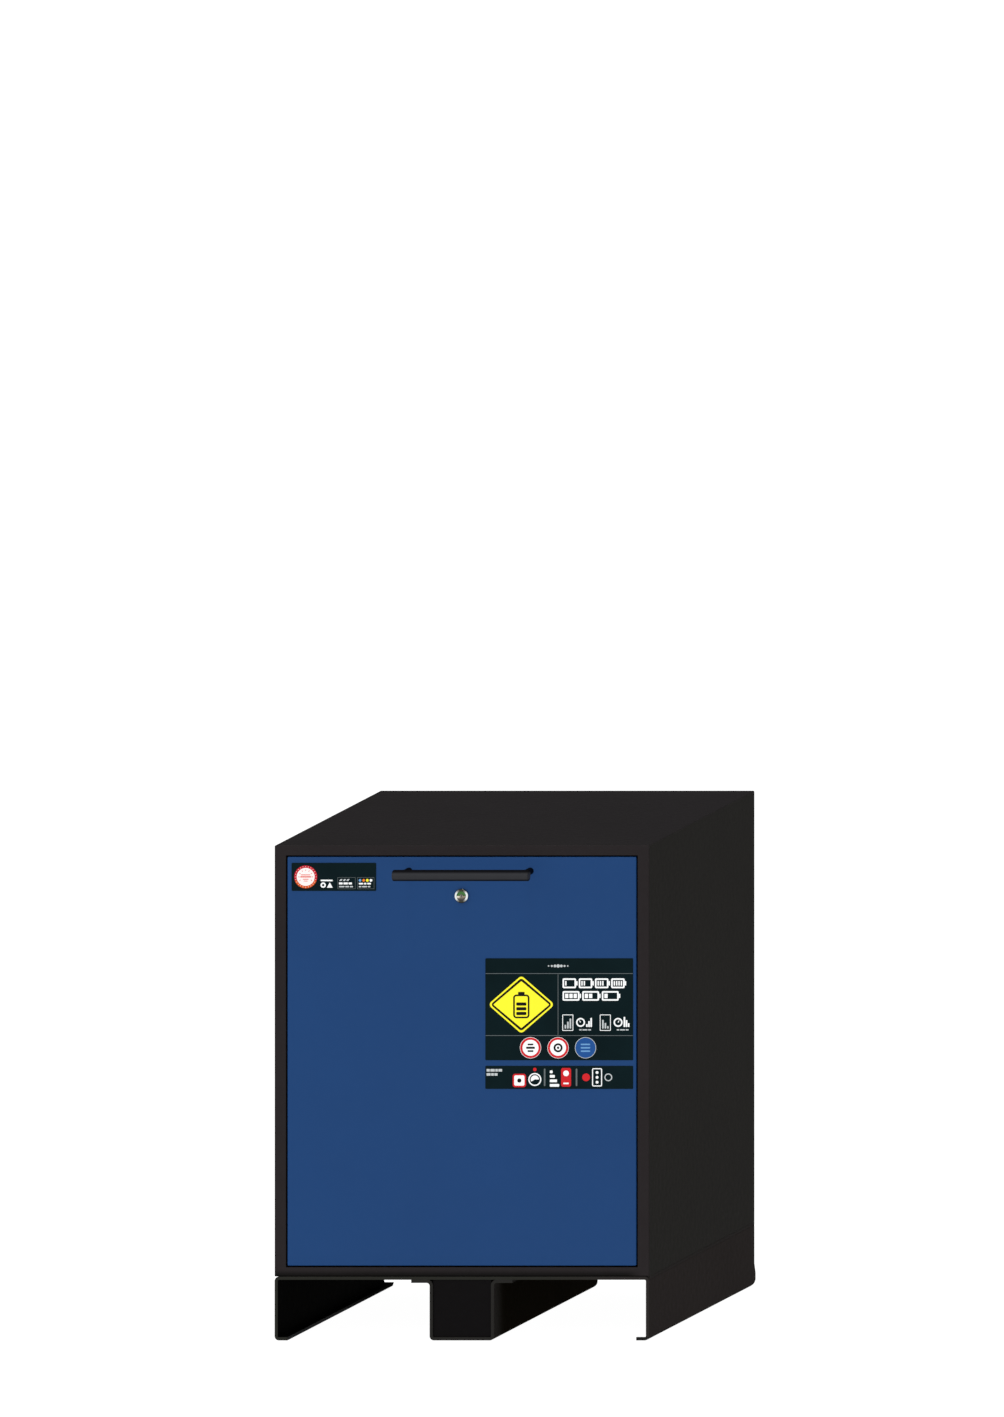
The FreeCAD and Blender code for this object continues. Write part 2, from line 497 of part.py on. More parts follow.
drail = fuse(
    ub(17, 19, DRAIL_L0, DRAIL_L1, -23, 23),
    ub(9, 19, DRAIL_L0, DRAIL_L1, 21, 23),
    ub(9, 19, DRAIL_L0, DRAIL_L1, -23, -21),
)
drail_screw_y = (-190.0, 0.0, 190.0)
for y in drail_screw_y:
    drail = drail.cut(cyl(SX - 1, y, RAIL_Z, 2.6, 5, (1, 0, 0)))
keep("slide_drawer_rails", drail, mirror(drail))


def cages(span, v, u, w, r):
    """Ball strips above and below, left and right, with their balls."""
    out = []
    y0, y1 = span
    ys = [y0 + 6 + (y1 - y0 - 12) * i / (BALLS - 1) for i in range(BALLS)]
    for sv in (-1, 1):
        strip = ub(u - w / 2, u + w / 2, y0, y1, sv * v - 0.5, sv * v + 0.5)
        for y in ys:
            strip = strip.cut(cyl(INX - u, y, RAIL_Z + sv * v - 1, r + 0.1, 2, (0, 0, 1)))
            ball = Part.makeSphere(r, V(INX - u, y, RAIL_Z + sv * v))
            out += [ball, mirror(ball)]
        out += [strip, mirror(strip)]
    return out


keep("ball_cages_outer", *cages(CAGE_O, 33.0, 8.0, 8.0, 2.95))
keep("ball_cages_inner", *cages(CAGE_I, 25.5, 12.0, 7.0, 2.45))

# ================================================================ drawer front
front_screws = [(sx * 213.0, z) for sx in (-1, 1) for z in (195.0, 300.0, 400.0, 500.0, 600.0)]
post_x = (HANDLE_X - HANDLE_CC / 2, HANDLE_X + HANDLE_CC / 2)
skin = box(-FX, FX, YF, FYB - BACKPLATE_T, FZ0, FZ1)
skin = fillet(skin, 2.0, lambda m, d, e: abs(d.y) > 0.9)
front_edges = [e for e in skin.Edges if all(near(v.Point.y, YF) for v in e.Vertexes)]
skin = skin.makeFillet(1.4, front_edges)
inner = box(-FX + T, FX - T, YF + T, FYB, FZ0 + T, FZ1 - T)
skin = skin.cut(inner)
skin = skin.cut(cyl(0, YF - 5, LOCK_Z, BARREL_R + 0.1, 20, (0, 1, 0)))
for x in post_x:
    skin = skin.cut(cyl(x, YF - 5, HANDLE_Z, 2.6, 20, (0, 1, 0)))
keep("front_skin", skin)

fins = box(-FX + T, FX - T, YF + T, FYB - BACKPLATE_T, FZ0 + T, FZ1 - T)
fins = fins.cut(cyl(0, YF - 5, LOCK_Z, BARREL_R + 0.1, 60, (0, 1, 0)))
for x in post_x:
    fins = fins.cut(cyl(x, YF - 5, HANDLE_Z, 2.6, 60, (0, 1, 0)))
    fins = fins.cut(cyl(x, FYB - 8.0, HANDLE_Z, 6.0, 10, (0, 1, 0)))
for x, z in front_screws:
    fins = fins.cut(cyl(x, FYB - 14, z, 4.0, 14, (0, 1, 0)))
keep("front_insulation", fins)

bp = box(-FX, FX, FYB - BACKPLATE_T, FYB, FZ0, FZ1)
bp = fillet(bp, 2.0, lambda m, d, e: abs(d.y) > 0.9)
bp = bp.cut(cyl(0, FYB - 5, LOCK_Z, BARREL_R + 0.1, 10, (0, 1, 0)))
for x in post_x:
    bp = bp.cut(cyl(x, FYB - 5, HANDLE_Z, 6.0, 10, (0, 1, 0)))
for x, z in front_screws:
    bp = bp.cut(cyl(x, FYB - 5, z, 2.55, 10, (0, 1, 0)))
keep("front_back_plate", bp)

bar_y = YF - HANDLE_OUT
bar = cyl(HANDLE_X - HANDLE_L / 2, bar_y, HANDLE_Z, HANDLE_R, HANDLE_L, (1, 0, 0))
bar = bar.makeChamfer(1.2, [e for e in bar.Edges if e.Curve.TypeId == "Part::GeomCircle"])
keep("handle_bar", bar)
posts = []
for x in post_x:
    p = cyl(x, bar_y, HANDLE_Z, POST_R, HANDLE_OUT, (0, 1, 0)).cut(cyl(-HANDLE_L, bar_y, HANDLE_Z, HANDLE_R, 2 * HANDLE_L, (1, 0, 0)))
    p = p.cut(cyl(x, YF - 14, HANDLE_Z, 2.6, 20, (0, 1, 0)))
    posts.append(p)
    posts.append(fuse(cyl(x, YF - 12.0, HANDLE_Z, 2.5, FYB - 7.5 - (YF - 12.0), (0, 1, 0)), cyl(x, FYB - 7.5, HANDLE_Z, 4.7, 3.5, (0, 1, 0))))
keep("handle_posts", *posts)

# lock: fixed barrel with a half-moon window over a turning two-colour disc
b0 = YF - LOCK_OUT
house = fuse(
    cyl(0, b0, LOCK_Z, LOCK_R, YF - b0, (0, 1, 0)),
    cyl(0, b0, LOCK_Z, BARREL_R, FYB + 3.4 - b0, (0, 1, 0)),
)
rim = [e for e in house.Edges if e.Curve.TypeId == "Part::GeomCircle" and near(e.Curve.Center.y, b0) and near(e.Curve.Radius, LOCK_R)]
house = house.makeFillet(1.2, rim)
house = house.cut(cyl(0, b0 + 1.3, LOCK_Z, 9.1, 1.25, (0, 1, 0)))
house = house.cut(cyl(0, b0 + 2.5, LOCK_Z, PLUG_R + 0.05, 80, (0, 1, 0)))
house = house.cut(cyl(0, b0 - 1, LOCK_Z, HEAD_R + 0.1, 5, (0, 1, 0)))
window = cyl(0, b0 - 1, LOCK_Z, WINDOW_R, 4, (0, 1, 0)).common(box(-10, 10, b0 - 2, b0 + 2, LOCK_Z, LOCK_Z + 12))
house = house.cut(window)
# the lower half of the face is sunk a little
house = house.cut(cyl(0, b0 - 1, LOCK_Z, WINDOW_R, 1.6, (0, 1, 0)).common(box(-10, 10, b0 - 2, b0 + 5, LOCK_Z - 12, LOCK_Z + 0.5)))
lock_nut = hexa(0, FYB, LOCK_Z, 24.0, 3.2, (0, 1, 0)).cut(cyl(0, FYB - 1, LOCK_Z, BARREL_R + 0.05, 6, (0, 1, 0)))
keep("lock_housing", house)
keep("lock_nut", lock_nut)

plug = fuse(
    cyl(0, b0 + 0.2, LOCK_Z, HEAD_R, 2.5, (0, 1, 0)),
    cyl(0, b0 + 2.6, LOCK_Z, PLUG_R, -254.2 - (b0 + 2.6), (0, 1, 0)),
    box(-3, 3, -254.2, -251.0, LOCK_Z - 3, LOCK_Z + 3),
)
plug = plug.cut(box(-0.55, 0.55, b0 - 1, b0 + 24, LOCK_Z - 1.9, LOCK_Z + 1.9))
cam_screw = fuse(cyl(0, -251.0, LOCK_Z, 5.0, 2.4, (0, 1, 0)), cyl(0, -262.0, LOCK_Z, 1.9, 11.0, (0, 1, 0)))
plug = plug.cut(cyl(0, -263.0, LOCK_Z, 1.95, 14.0, (0, 1, 0)))
keep("lock_plug", plug, cam_screw)
cam = fuse(
    cyl(0, -254.1, LOCK_Z, 10.0, 3.0, (0, 1, 0)),
    box(-10, 10, -254.1, -251.1, LOCK_Z - CAM_L + 4, LOCK_Z),
)
cam = fuse(cam, box(-6, 6, -254.1, -251.1, LOCK_Z - CAM_L, LOCK_Z))
cam = cam.cut(box(-3.05, 3.05, -260, -250, LOCK_Z - 3.05, LOCK_Z + 3.05))
keep("lock_cam", cam)
halfdisc = cyl(0, b0 + 1.42, LOCK_Z, 8.8, 1.0, (0, 1, 0)).cut(cyl(0, b0, LOCK_Z, HEAD_R + 0.02, 5, (0, 1, 0)))
keep("lock_disc_green", halfdisc.common(box(-10, 10, b0 - 2, b0 + 5, LOCK_Z, LOCK_Z + 12)))
keep("lock_disc_red", halfdisc.common(box(-10, 10, b0 - 2, b0 + 5, LOCK_Z - 12, LOCK_Z)))

labels = []
for x0, x1, z0, z1 in LABELS:
    lb = box(x0, x1, YF - LABEL_T, YF, z0, z1)
    labels.append(fillet(lb, 1.5, lambda m, d, e: abs(d.y) > 0.9))
keep("label_plates", *labels)

# ================================================================== drawer box
def ydz(points, x, t):
    return prism([(x, y, z) for y, z in points], (t, 0, 0))


web = ydz([(FYB, SZ0), (DBY, SZ0), (DBY, SZ1), (-120, SZ1), (-246, GUSSET_Z), (FYB, GUSSET_Z)], SX - ST, ST)
sd = fuse(
    web,
    box(SX - ST - 20, SX - ST, FYB, DBY - ST, SZ0, SZ0 + ST),
    box(SX - ST - 24, SX - ST, FYB, FYB + ST, SZ0, GUSSET_Z),
    box(SX - ST - 10, SX - ST, -118, DBY - ST, SZ1 - ST, SZ1),
)
for x, z in front_screws:
    if x > 0:
        sd = sd.cut(cyl(x, FYB - 1, z, 2.6, 5, (0, 1, 0)))
for y in drail_screw_y:
    sd = sd.cut(cyl(SX - 3, y, RAIL_Z, 2.6, 5, (1, 0, 0)))
side_back_screws = [(210.0, z) for z in (195.0, 290.0)]
keep("drawer_side_right", sd)
keep("drawer_side_left", mirror(sd))

db = fuse(
    box(-SX + ST, SX - ST, DBY - ST, DBY, SZ0, SZ1),
    box(-SX + ST + 10, SX - ST - 10, DBY - ST - 10, DBY - ST, SZ1 - ST, SZ1),
    box(-SX + ST, -SX + 2 * ST, DBY - ST - 14, DBY - ST, SZ0 + 30, SZ1 - 12),
    box(SX - 2 * ST, SX - ST, DBY - ST - 14, DBY - ST, SZ0 + 30, SZ1 - 12),
)
keep("drawer_back", db)

tray = box(-225, 225, -258.5, 226, SZ0 + ST, TRAY_Z1)
tray = fillet(tray, 4.0, lambda m, d, e: abs(d.z) > 0.9)
tray_in = fillet(box(-223.5, 223.5, -257.0, 224.5, SZ0 + 2 * ST, TRAY_Z1 + 5), 2.5, lambda m, d, e: abs(d.z) > 0.9)
keep("spill_tray", tray.cut(tray_in))

px, py0, py1 = 221.5, -254.0, 221.0
perf = Part.Face(Part.makePolygon([V(-px, py0, PERF_Z), V(px, py0, PERF_Z), V(px, py1, PERF_Z), V(-px, py1, PERF_Z), V(-px, py0, PERF_Z)]))
sq, nx, ny = 14.0, 14, 15
sx_, sy_ = 30.0, 30.0
cutters = []
for i in range(nx):
    for j in range(ny):
        cx = (i - (nx - 1) / 2) * sx_
        cy = (py0 + py1) / 2 + (j - (ny - 1) / 2) * sy_
        cutters.append(Part.makePolygon([V(cx - sq / 2, cy - sq / 2, PERF_Z), V(cx - sq / 2, cy + sq / 2, PERF_Z), V(cx + sq / 2, cy + sq / 2, PERF_Z), V(cx + sq / 2, cy - sq / 2, PERF_Z), V(cx - sq / 2, cy - sq / 2, PERF_Z)]))
perf = Part.Face([perf.OuterWire] + cutters)
perf.validate()
perf = perf.extrude(V(0, 0, 2.0))
zf = SZ0 + 2 * ST
perf = perf.fuse([
    box(-px, -px + 1.5, py0, py1, zf, PERF_Z),
    box(px - 1.5, px, py0, py1, zf, PERF_Z),
    box(-px + 1.5, px - 1.5, py0, py0 + 1.5, zf, PERF_Z),
    box(-px + 1.5, px - 1.5, py1 - 1.5, py1, zf, PERF_Z),
])
keep("perforated_floor", perf.removeSplitter())

ds = []
for x, z in front_screws:
    ds.append(fuse(cyl(x, FYB - 12.0, z, 2.5, ST + 12.0, (0, 1, 0)), cyl(x, FYB + ST, z, 4.4, 2.0, (0, 1, 0))))
for y in drail_screw_y:
    s = fuse(cyl(SX + 2.0, y, RAIL_Z, 4.4, 1.6, (1, 0, 0)), cyl(SX - 7.0, y, RAIL_Z, 2.5, 9.0, (1, 0, 0)))
    n = hexa(SX - ST - 4.0, y, RAIL_Z, 8.0, 4.0, (1, 0, 0)).cut(cyl(SX - 10, y, RAIL_Z, 2.55, 12, (1, 0, 0)))
    ds += [s, mirror(s), n, mirror(n)]
keep("drawer_screws", *ds)

# ================================================================ socket strip
hs = box(-STRIP_X, STRIP_X, STRIP_Y0, STRIP_Y1, STRIP_Z0, STRIP_Z1)
hs = fillet(hs, 3.0, lambda m, d, e: abs(d.x) > 0.9 and near(m.y, STRIP_Y0))
hs = hs.cut(box(-STRIP_X + 2, STRIP_X - 2, STRIP_Y0 + 2, STRIP_Y1 - 2, STRIP_Z0 + 2, STRIP_Z1 - 2))
hs = hs.cut(box(-150, 150, STRIP_Y0 - 1, STRIP_Y0 + 3, STRIP_Z0 + 4, STRIP_Z1 - 4))
nose = fuse(cyl(-STRIP_X - 12, 203, 347, 9.0, 12, (1, 0, 0)), hexa(-STRIP_X - 5, 203, 347, 22.0, 5.0, (1, 0, 0)))
hs = fuse(hs, nose).cut(cyl(-STRIP_X - 20, 203, 347, 5.0, 25, (1, 0, 0)))
keep("socket_strip", hs)

zc = (STRIP_Z0 + STRIP_Z1) / 2
ins = []
for x in SOCKETS:
    s = box(x - 24.8, x + 24.8, STRIP_Y0 - 1.5, STRIP_Y0 + 30, STRIP_Z0 + 4.0, STRIP_Z1 - 4.0)
    s = s.cut(cyl(x, STRIP_Y0 - 5, zc, 19.5, 5 + 17.0, (0, 1, 0)))
    for dx in (-9.5, 9.5):
        s = s.cut(cyl(x + dx, STRIP_Y0 + 10, zc, 2.5, 14, (0, 1, 0)))
    ins.append(s)
sf = box(100.2, 149.8, STRIP_Y0 - 1.5, STRIP_Y0 + 30, STRIP_Z0 + 4.0, STRIP_Z1 - 4.0)
sf = sf.cut(box(SWITCH_X - 12, SWITCH_X + 12, STRIP_Y0 - 5, STRIP_Y0 + 22, zc - 11, zc + 11))
rk_y = STRIP_Y0 + 8.0
sf = sf.cut(cyl(SWITCH_X - 13.5, rk_y, zc, 1.56, 27.0, (1, 0, 0)))
ins.append(sf)
keep("strip_sockets", *ins)

rk = prism([(SWITCH_X - 11.5, rk_y + a, zc + b) for a, b in ((-9.5, -9.5), (-7.8, 0), (-9.5, 9.5), (2.5, 9.0), (6.0, 3.0), (6.0, -3.0), (2.5, -9.0))], (23, 0, 0))
rk = fuse(rk, cyl(SWITCH_X - 13.2, rk_y, zc, 1.5, 26.4, (1, 0, 0)))
rk.rotate(V(SWITCH_X, rk_y, zc), V(1, 0, 0), -7.0)
keep("strip_rocker", rk)

# ====================================================================== export
if __name__ == "__main__":
    os.makedirs("parts", exist_ok=True)
    for name, solids in sorted(parts.items()):
        bad = [s for s in solids if not s.isValid() or s.Volume <= 0]
        shape = solids[0] if len(solids) == 1 else Part.makeCompound(solids)
        shape.exportStep(f"parts/{name}.step")
        bb = shape.BoundBox
        print(f"{name:28s} {len(solids):3d} solids {'BAD' if bad else 'ok ':3s} vol {sum(s.Volume for s in solids)/1000:10.1f} cm3  x {bb.XMin:.1f}..{bb.XMax:.1f} y {bb.YMin:.1f}..{bb.YMax:.1f} z {bb.ZMin:.1f}..{bb.ZMax:.1f}")
    print(len(parts), "nodes")
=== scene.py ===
import math

import bpy
from mathutils import Matrix, Vector


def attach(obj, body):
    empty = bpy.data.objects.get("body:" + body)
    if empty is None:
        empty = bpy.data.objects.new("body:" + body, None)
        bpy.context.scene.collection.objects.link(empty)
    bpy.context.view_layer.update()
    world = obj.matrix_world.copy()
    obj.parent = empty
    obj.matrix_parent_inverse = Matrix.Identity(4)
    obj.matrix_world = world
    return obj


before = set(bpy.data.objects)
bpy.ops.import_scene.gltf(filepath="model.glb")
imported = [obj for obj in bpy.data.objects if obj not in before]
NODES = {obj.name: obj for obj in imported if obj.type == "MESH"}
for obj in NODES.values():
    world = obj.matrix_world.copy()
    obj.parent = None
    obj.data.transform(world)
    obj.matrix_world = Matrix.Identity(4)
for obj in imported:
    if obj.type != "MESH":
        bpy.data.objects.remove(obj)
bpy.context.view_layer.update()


# ------------------------------------------------------------------ materials
def new_material(name):
    m = bpy.data.materials.new(name)
    m.use_nodes = True
    nt = m.node_tree
    nt.nodes.clear()
    out = nt.nodes.new("ShaderNodeOutputMaterial")
    sh = nt.nodes.new("ShaderNodeBsdfPrincipled")
    nt.links.new(sh.outputs["BSDF"], out.inputs["Surface"])
    return m, nt, sh


def link(nt, a, b):
    nt.links.new(a, b)


def coords(nt, scale=(1, 1, 1)):
    tc = nt.nodes.new("ShaderNodeTexCoord")
    if scale == (1, 1, 1):
        return tc.outputs["Object"]
    mp = nt.nodes.new("ShaderNodeMapping")
    mp.inputs["Scale"].default_value = scale
    link(nt, tc.outputs["Object"], mp.inputs["Vector"])
    return mp.outputs["Vector"]


def noise(nt, vec, scale, detail=3.0, rough=0.5, distort=0.0):
    n = nt.nodes.new("ShaderNodeTexNoise")
    n.inputs["Scale"].default_value = scale
    n.inputs["Detail"].default_value = detail
    n.inputs["Roughness"].default_value = rough
    n.inputs["Distortion"].default_value = distort
    link(nt, vec, n.inputs["Vector"])
    return n.outputs["Fac"]


def remap(nt, fac, lo, hi, from_lo=0.3, from_hi=0.7):
    r = nt.nodes.new("ShaderNodeMapRange")
    r.inputs["From Min"].default_value = from_lo
    r.inputs["From Max"].default_value = from_hi
    r.inputs["To Min"].default_value = lo
    r.inputs["To Max"].default_value = hi
    link(nt, fac, r.inputs["Value"])
    return r.outputs["Result"]


def blend_colours(nt, fac, a, b):
    """Runs from colour a to colour b as fac goes from 0.3 to 0.7."""
    r = nt.nodes.new("ShaderNodeValToRGB")
    r.color_ramp.elements[0].position = 0.3
    r.color_ramp.elements[0].color = (*a, 1)
    r.color_ramp.elements[1].position = 0.7
    r.color_ramp.elements[1].color = (*b, 1)
    link(nt, fac, r.inputs["Fac"])
    return r.outputs["Color"]


def shade(c, k):
    return tuple(min(1.0, v * k) for v in c)


def bump(nt, height, strength, distance, normal=None):
    b = nt.nodes.new("ShaderNodeBump")
    b.inputs["Strength"].default_value = strength
    b.inputs["Distance"].default_value = distance
    link(nt, height, b.inputs["Height"])
    if normal is not None:
        link(nt, normal, b.inputs["Normal"])
    return b.outputs["Normal"]


def soft_edges(nt, radius):
    b = nt.nodes.new("ShaderNodeBevel")
    b.samples = 4
    b.inputs["Radius"].default_value = radius
    return b.outputs["Normal"]


def powder_coat(name, colour, rough=0.55, level=0.2, grain=1.0, vary=0.05, edge=0.0004):
    """Sprayed and baked powder: a fine pebbled skin over a slight long wave."""
    m, nt, sh = new_material(name)
    vec = coords(nt)
    broad = noise(nt, vec, 5.0, 4.0, 0.6)
    link(nt, blend_colours(nt, broad, shade(colour, 1 - vary), shade(colour, 1 + vary)), sh.inputs["Base Color"])
    mid = noise(nt, vec, 90.0, 3.0, 0.6)
    link(nt, remap(nt, mid, rough - 0.05, rough + 0.06), sh.inputs["Roughness"])
    fine = noise(nt, vec, 1100.0, 2.0, 0.5)
    wave = noise(nt, vec, 260.0, 2.0, 0.5)
    n = bump(nt, wave, 0.25 * grain, 0.00006, soft_edges(nt, edge))
    n = bump(nt, fine, 0.35 * grain, 0.00004, n)
    link(nt, n, sh.inputs["Normal"])
    sh.inputs["Specular IOR Level"].default_value = level
    return m


def galvanised(name, colour=(0.56, 0.58, 0.59), rough=0.42, spangle=70.0):
    """Zinc-coated sheet: faint crystal flowers, each with its own sheen."""
    m, nt, sh = new_material(name)
    vec = coords(nt)
    v = nt.nodes.new("ShaderNodeTexVoronoi")
    v.inputs["Scale"].default_value = spangle
    v.inputs["Randomness"].default_value = 1.0
    link(nt, vec, v.inputs["Vector"])
    bw = nt.nodes.new("ShaderNodeRGBToBW")
    link(nt, v.outputs["Color"], bw.inputs["Color"])
    link(nt, blend_colours(nt, bw.outputs["Val"], shade(colour, 0.88), shade(colour, 1.08)), sh.inputs["Base Color"])
    link(nt, remap(nt, bw.outputs["Val"], rough - 0.08, rough + 0.1, 0.1, 0.9), sh.inputs["Roughness"])
    scratch = noise(nt, coords(nt, (1, 8, 1)), 420.0, 3.0, 0.6)
    link(nt, bump(nt, scratch, 0.15, 0.00003, soft_edges(nt, 0.0003)), sh.inputs["Normal"])
    sh.inputs["Metallic"].default_value = 0.6
    return m


def plated(name, colour=(0.62, 0.62, 0.6), rough=0.3, stretch=(1, 1, 1), vary=0.08, edge=0.0002, metal=0.7, marks=1.0):
    """Bright plated steel or brass with faint tool marks."""
    m, nt, sh = new_material(name)
    vec = coords(nt)
    n = noise(nt, vec, 60.0, 4.0, 0.6)
    link(nt, blend_colours(nt, n, shade(colour, 1 - vary), shade(colour, 1 + vary)), sh.inputs["Base Color"])
    fine = noise(nt, coords(nt, stretch), 900.0, 3.0, 0.6)
    link(nt, remap(nt, fine, rough - 0.06 * marks, rough + 0.08 * marks), sh.inputs["Roughness"])
    link(nt, bump(nt, fine, 0.12 * marks, 0.00002, soft_edges(nt, edge)), sh.inputs["Normal"])
    sh.inputs["Metallic"].default_value = metal
    return m


def board(name, colour, speck=(0.4, 0.38, 0.34), rough=0.85, grain=0.5):
    """Pressed mineral board: pale body, specks and tiny pits."""
    m, nt, sh = new_material(name)
    vec = coords(nt)
    broad = noise(nt, vec, 12.0, 5.0, 0.65)
    base = blend_colours(nt, broad, shade(colour, 0.93), shade(colour, 1.05))
    specks = nt.nodes.new("ShaderNodeTexVoronoi")
    specks.inputs["Scale"].default_value = 420.0
    link(nt, vec, specks.inputs["Vector"])
    mask = remap(nt, specks.outputs["Distance"], 0.55, 0.0, 0.05, 0.22)
    mix = nt.nodes.new("ShaderNodeMix")
    mix.data_type = "RGBA"
    link(nt, mask, mix.inputs[0])
    link(nt, base, mix.inputs[6])
    mix.inputs[7].default_value = (*speck, 1)
    link(nt, mix.outputs[2], sh.inputs["Base Color"])
    fine = noise(nt, vec, 700.0, 4.0, 0.7)
    link(nt, remap(nt, fine, rough - 0.06, rough + 0.08), sh.inputs["Roughness"])
    link(nt, bump(nt, fine, grain, 0.00012), sh.inputs["Normal"])
    sh.inputs["Specular IOR Level"].default_value = 0.25
    return m


def plastic(name, colour, rough=0.45, level=0.35, grain=0.3, vary=0.05):
    """Moulded plastic with a fine spark-eroded skin."""
    m, nt, sh = new_material(name)
    vec = coords(nt)
    broad = noise(nt, vec, 18.0, 3.0, 0.5)
    link(nt, blend_colours(nt, broad, shade(colour, 1 - vary), shade(colour, 1 + vary)), sh.inputs["Base Color"])
    fine = noise(nt, vec, 1600.0, 2.0, 0.6)
    link(nt, remap(nt, fine, rough - 0.05, rough + 0.05), sh.inputs["Roughness"])
    link(nt, bump(nt, fine, grain, 0.00003, soft_edges(nt, 0.0004)), sh.inputs["Normal"])
    sh.inputs["Specular IOR Level"].default_value = level
    return m


COAT_BLUE = powder_coat("coat_blue", (0.0066, 0.0442, 0.1510), rough=0.50, level=0.16, vary=0.03)
COAT_BACK = powder_coat("coat_back", (0.0170, 0.0150, 0.0160), rough=0.64, level=0.12)
COAT_GREY = powder_coat("coat_grey", (0.36, 0.38, 0.39), rough=0.5, level=0.3)
ZINC_SHEET = galvanised("zinc_sheet")
ZINC_PART = plated("zinc_part", (0.62, 0.62, 0.6), 0.34)
ZINC_RAIL = plated("zinc_rail", (0.60, 0.60, 0.59), 0.40, (1, 0.03, 1), vary=0.05, metal=0.45, marks=0.2)
PLUG = plated("plug_satin", (0.36, 0.34, 0.30), 0.3, metal=1.0)
NICKEL = plated("nickel_brass", (0.66, 0.62, 0.52), 0.3)
ALUMINIUM = plated("anodised", (0.62, 0.63, 0.65), 0.36, (0.06, 1, 1))
FIRE_BOARD = board("fire_board", (0.58, 0.56, 0.50))
LINER = board("liner_board", (0.66, 0.67, 0.67), speck=(0.5, 0.51, 0.52), rough=0.6, grain=0.25)
SEAL = plastic("seal_dark", (0.02, 0.02, 0.021), rough=0.8, level=0.15, grain=0.6)
STRIP = board("intumescent", (0.05, 0.045, 0.045), speck=(0.2, 0.18, 0.18), rough=0.8, grain=0.6)
BLACK_PLASTIC = plastic("black_plastic", (0.022, 0.022, 0.023), rough=0.42)
WHITE_PLASTIC = plastic("white_plastic", (0.72, 0.72, 0.69), rough=0.4)
RED_PLASTIC = plastic("red_plastic", (0.5, 0.02, 0.015), rough=0.3)
DISC_GREEN = plastic("disc_green", (0.045, 0.16, 0.03), rough=0.35, grain=0.1)
DISC_RED = plastic("disc_red", (0.5, 0.03, 0.02), rough=0.35, grain=0.1)
FILM = plastic("label_film", (0.0030, 0.0098, 0.0118), rough=0.5, level=0.03, grain=0.15, vary=0.12)


class Sums:
    """Small sums on the numbers of a node tree."""

    def __init__(self, nt):
        self.nt = nt
        tc = nt.nodes.new("ShaderNodeTexCoord")
        self.vec = tc.outputs["Object"]
        pos = nt.nodes.new("ShaderNodeSeparateXYZ")
        link(nt, tc.outputs["Object"], pos.inputs["Vector"])
        nor = nt.nodes.new("ShaderNodeSeparateXYZ")
        link(nt, tc.outputs["Normal"], nor.inputs["Vector"])
        self.x, self.y, self.z = (pos.outputs[k] for k in "XYZ")
        self.nx, self.ny, self.nz = (nor.outputs[k] for k in "XYZ")

    def op(self, kind, a, b=0.0):
        n = self.nt.nodes.new("ShaderNodeMath")
        n.operation = kind
        for i, v in enumerate((a, b)):
            if isinstance(v, (int, float)):
                n.inputs[i].default_value = v
            else:
                link(self.nt, v, n.inputs[i])
        return n.outputs["Value"]

    def less(self, a, b):
        return self.op("LESS_THAN", a, b)

    def more(self, a, b):
        return self.op("GREATER_THAN", a, b)

    def both(self, *masks):
        m = masks[0]
        for k in masks[1:]:
            m = self.op("MULTIPLY", m, k)
        return m

    def either(self, *masks):
        m = masks[0]
        for k in masks[1:]:
            m = self.op("MAXIMUM", m, k)
        return m

    def ramp(self, v, a, b, lo=0.0, hi=1.0):
        r = self.nt.nodes.new("ShaderNodeMapRange")
        r.interpolation_type = "SMOOTHSTEP"
        r.inputs["From Min"].default_value = a
        r.inputs["From Max"].default_value = b
        r.inputs["To Min"].default_value = lo
        r.inputs["To Max"].default_value = hi
        link(self.nt, v, r.inputs["Value"])
        return r.outputs["Result"]

    def over(self, mask, below, above):
        """above where mask is 1; each colour is a socket or three numbers."""
        mix = self.nt.nodes.new("ShaderNodeMix")
        mix.data_type = "RGBA"
        link(self.nt, mask, mix.inputs[0])
        for i, c in ((6, below), (7, above)):
            if isinstance(c, tuple):
                mix.inputs[i].default_value = (*c, 1)
            else:
                link(self.nt, c, mix.inputs[i])
        return mix.outputs[2]


def coat_skin(nt, sh, vec, lo=0.58, hi=0.7, level=0.1, edge=0.0006):
    link(nt, remap(nt, noise(nt, vec, 90.0, 3.0, 0.6), lo, hi), sh.inputs["Roughness"])
    n = bump(nt, noise(nt, vec, 260.0, 2.0, 0.5), 0.25, 0.00006, soft_edges(nt, edge))
    n = bump(nt, noise(nt, vec, 1100.0, 2.0, 0.5), 0.35, 0.00004, n)
    link(nt, n, sh.inputs["Normal"])
    sh.inputs["Specular IOR Level"].default_value = level


def frame_coat():
    """The face frame's coat. Painted shade darkens it towards the joint with the base and fades out towards the right
    end.
    """
    m, nt, sh = new_material("coat_frame")
    q = Sums(nt)
    body = blend_colours(nt, noise(nt, q.vec, 5.0, 4.0, 0.6), (0.0148, 0.0116, 0.0124), (0.0162, 0.0128, 0.0136))
    # painted shade: the coat runs to near black over the lowest 10 mm of the frame, fading out towards the right end
    low = q.ramp(q.z, 0.1145, 0.1045)
    mask = q.both(low, q.ramp(q.x, 0.292, 0.262), 0.94)
    link(nt, q.over(mask, body, (0.0016, 0.0012, 0.0010)), sh.inputs["Base Color"])
    coat_skin(nt, sh, q.vec, 0.56, 0.68, 0.12, 0.0004)
    return m


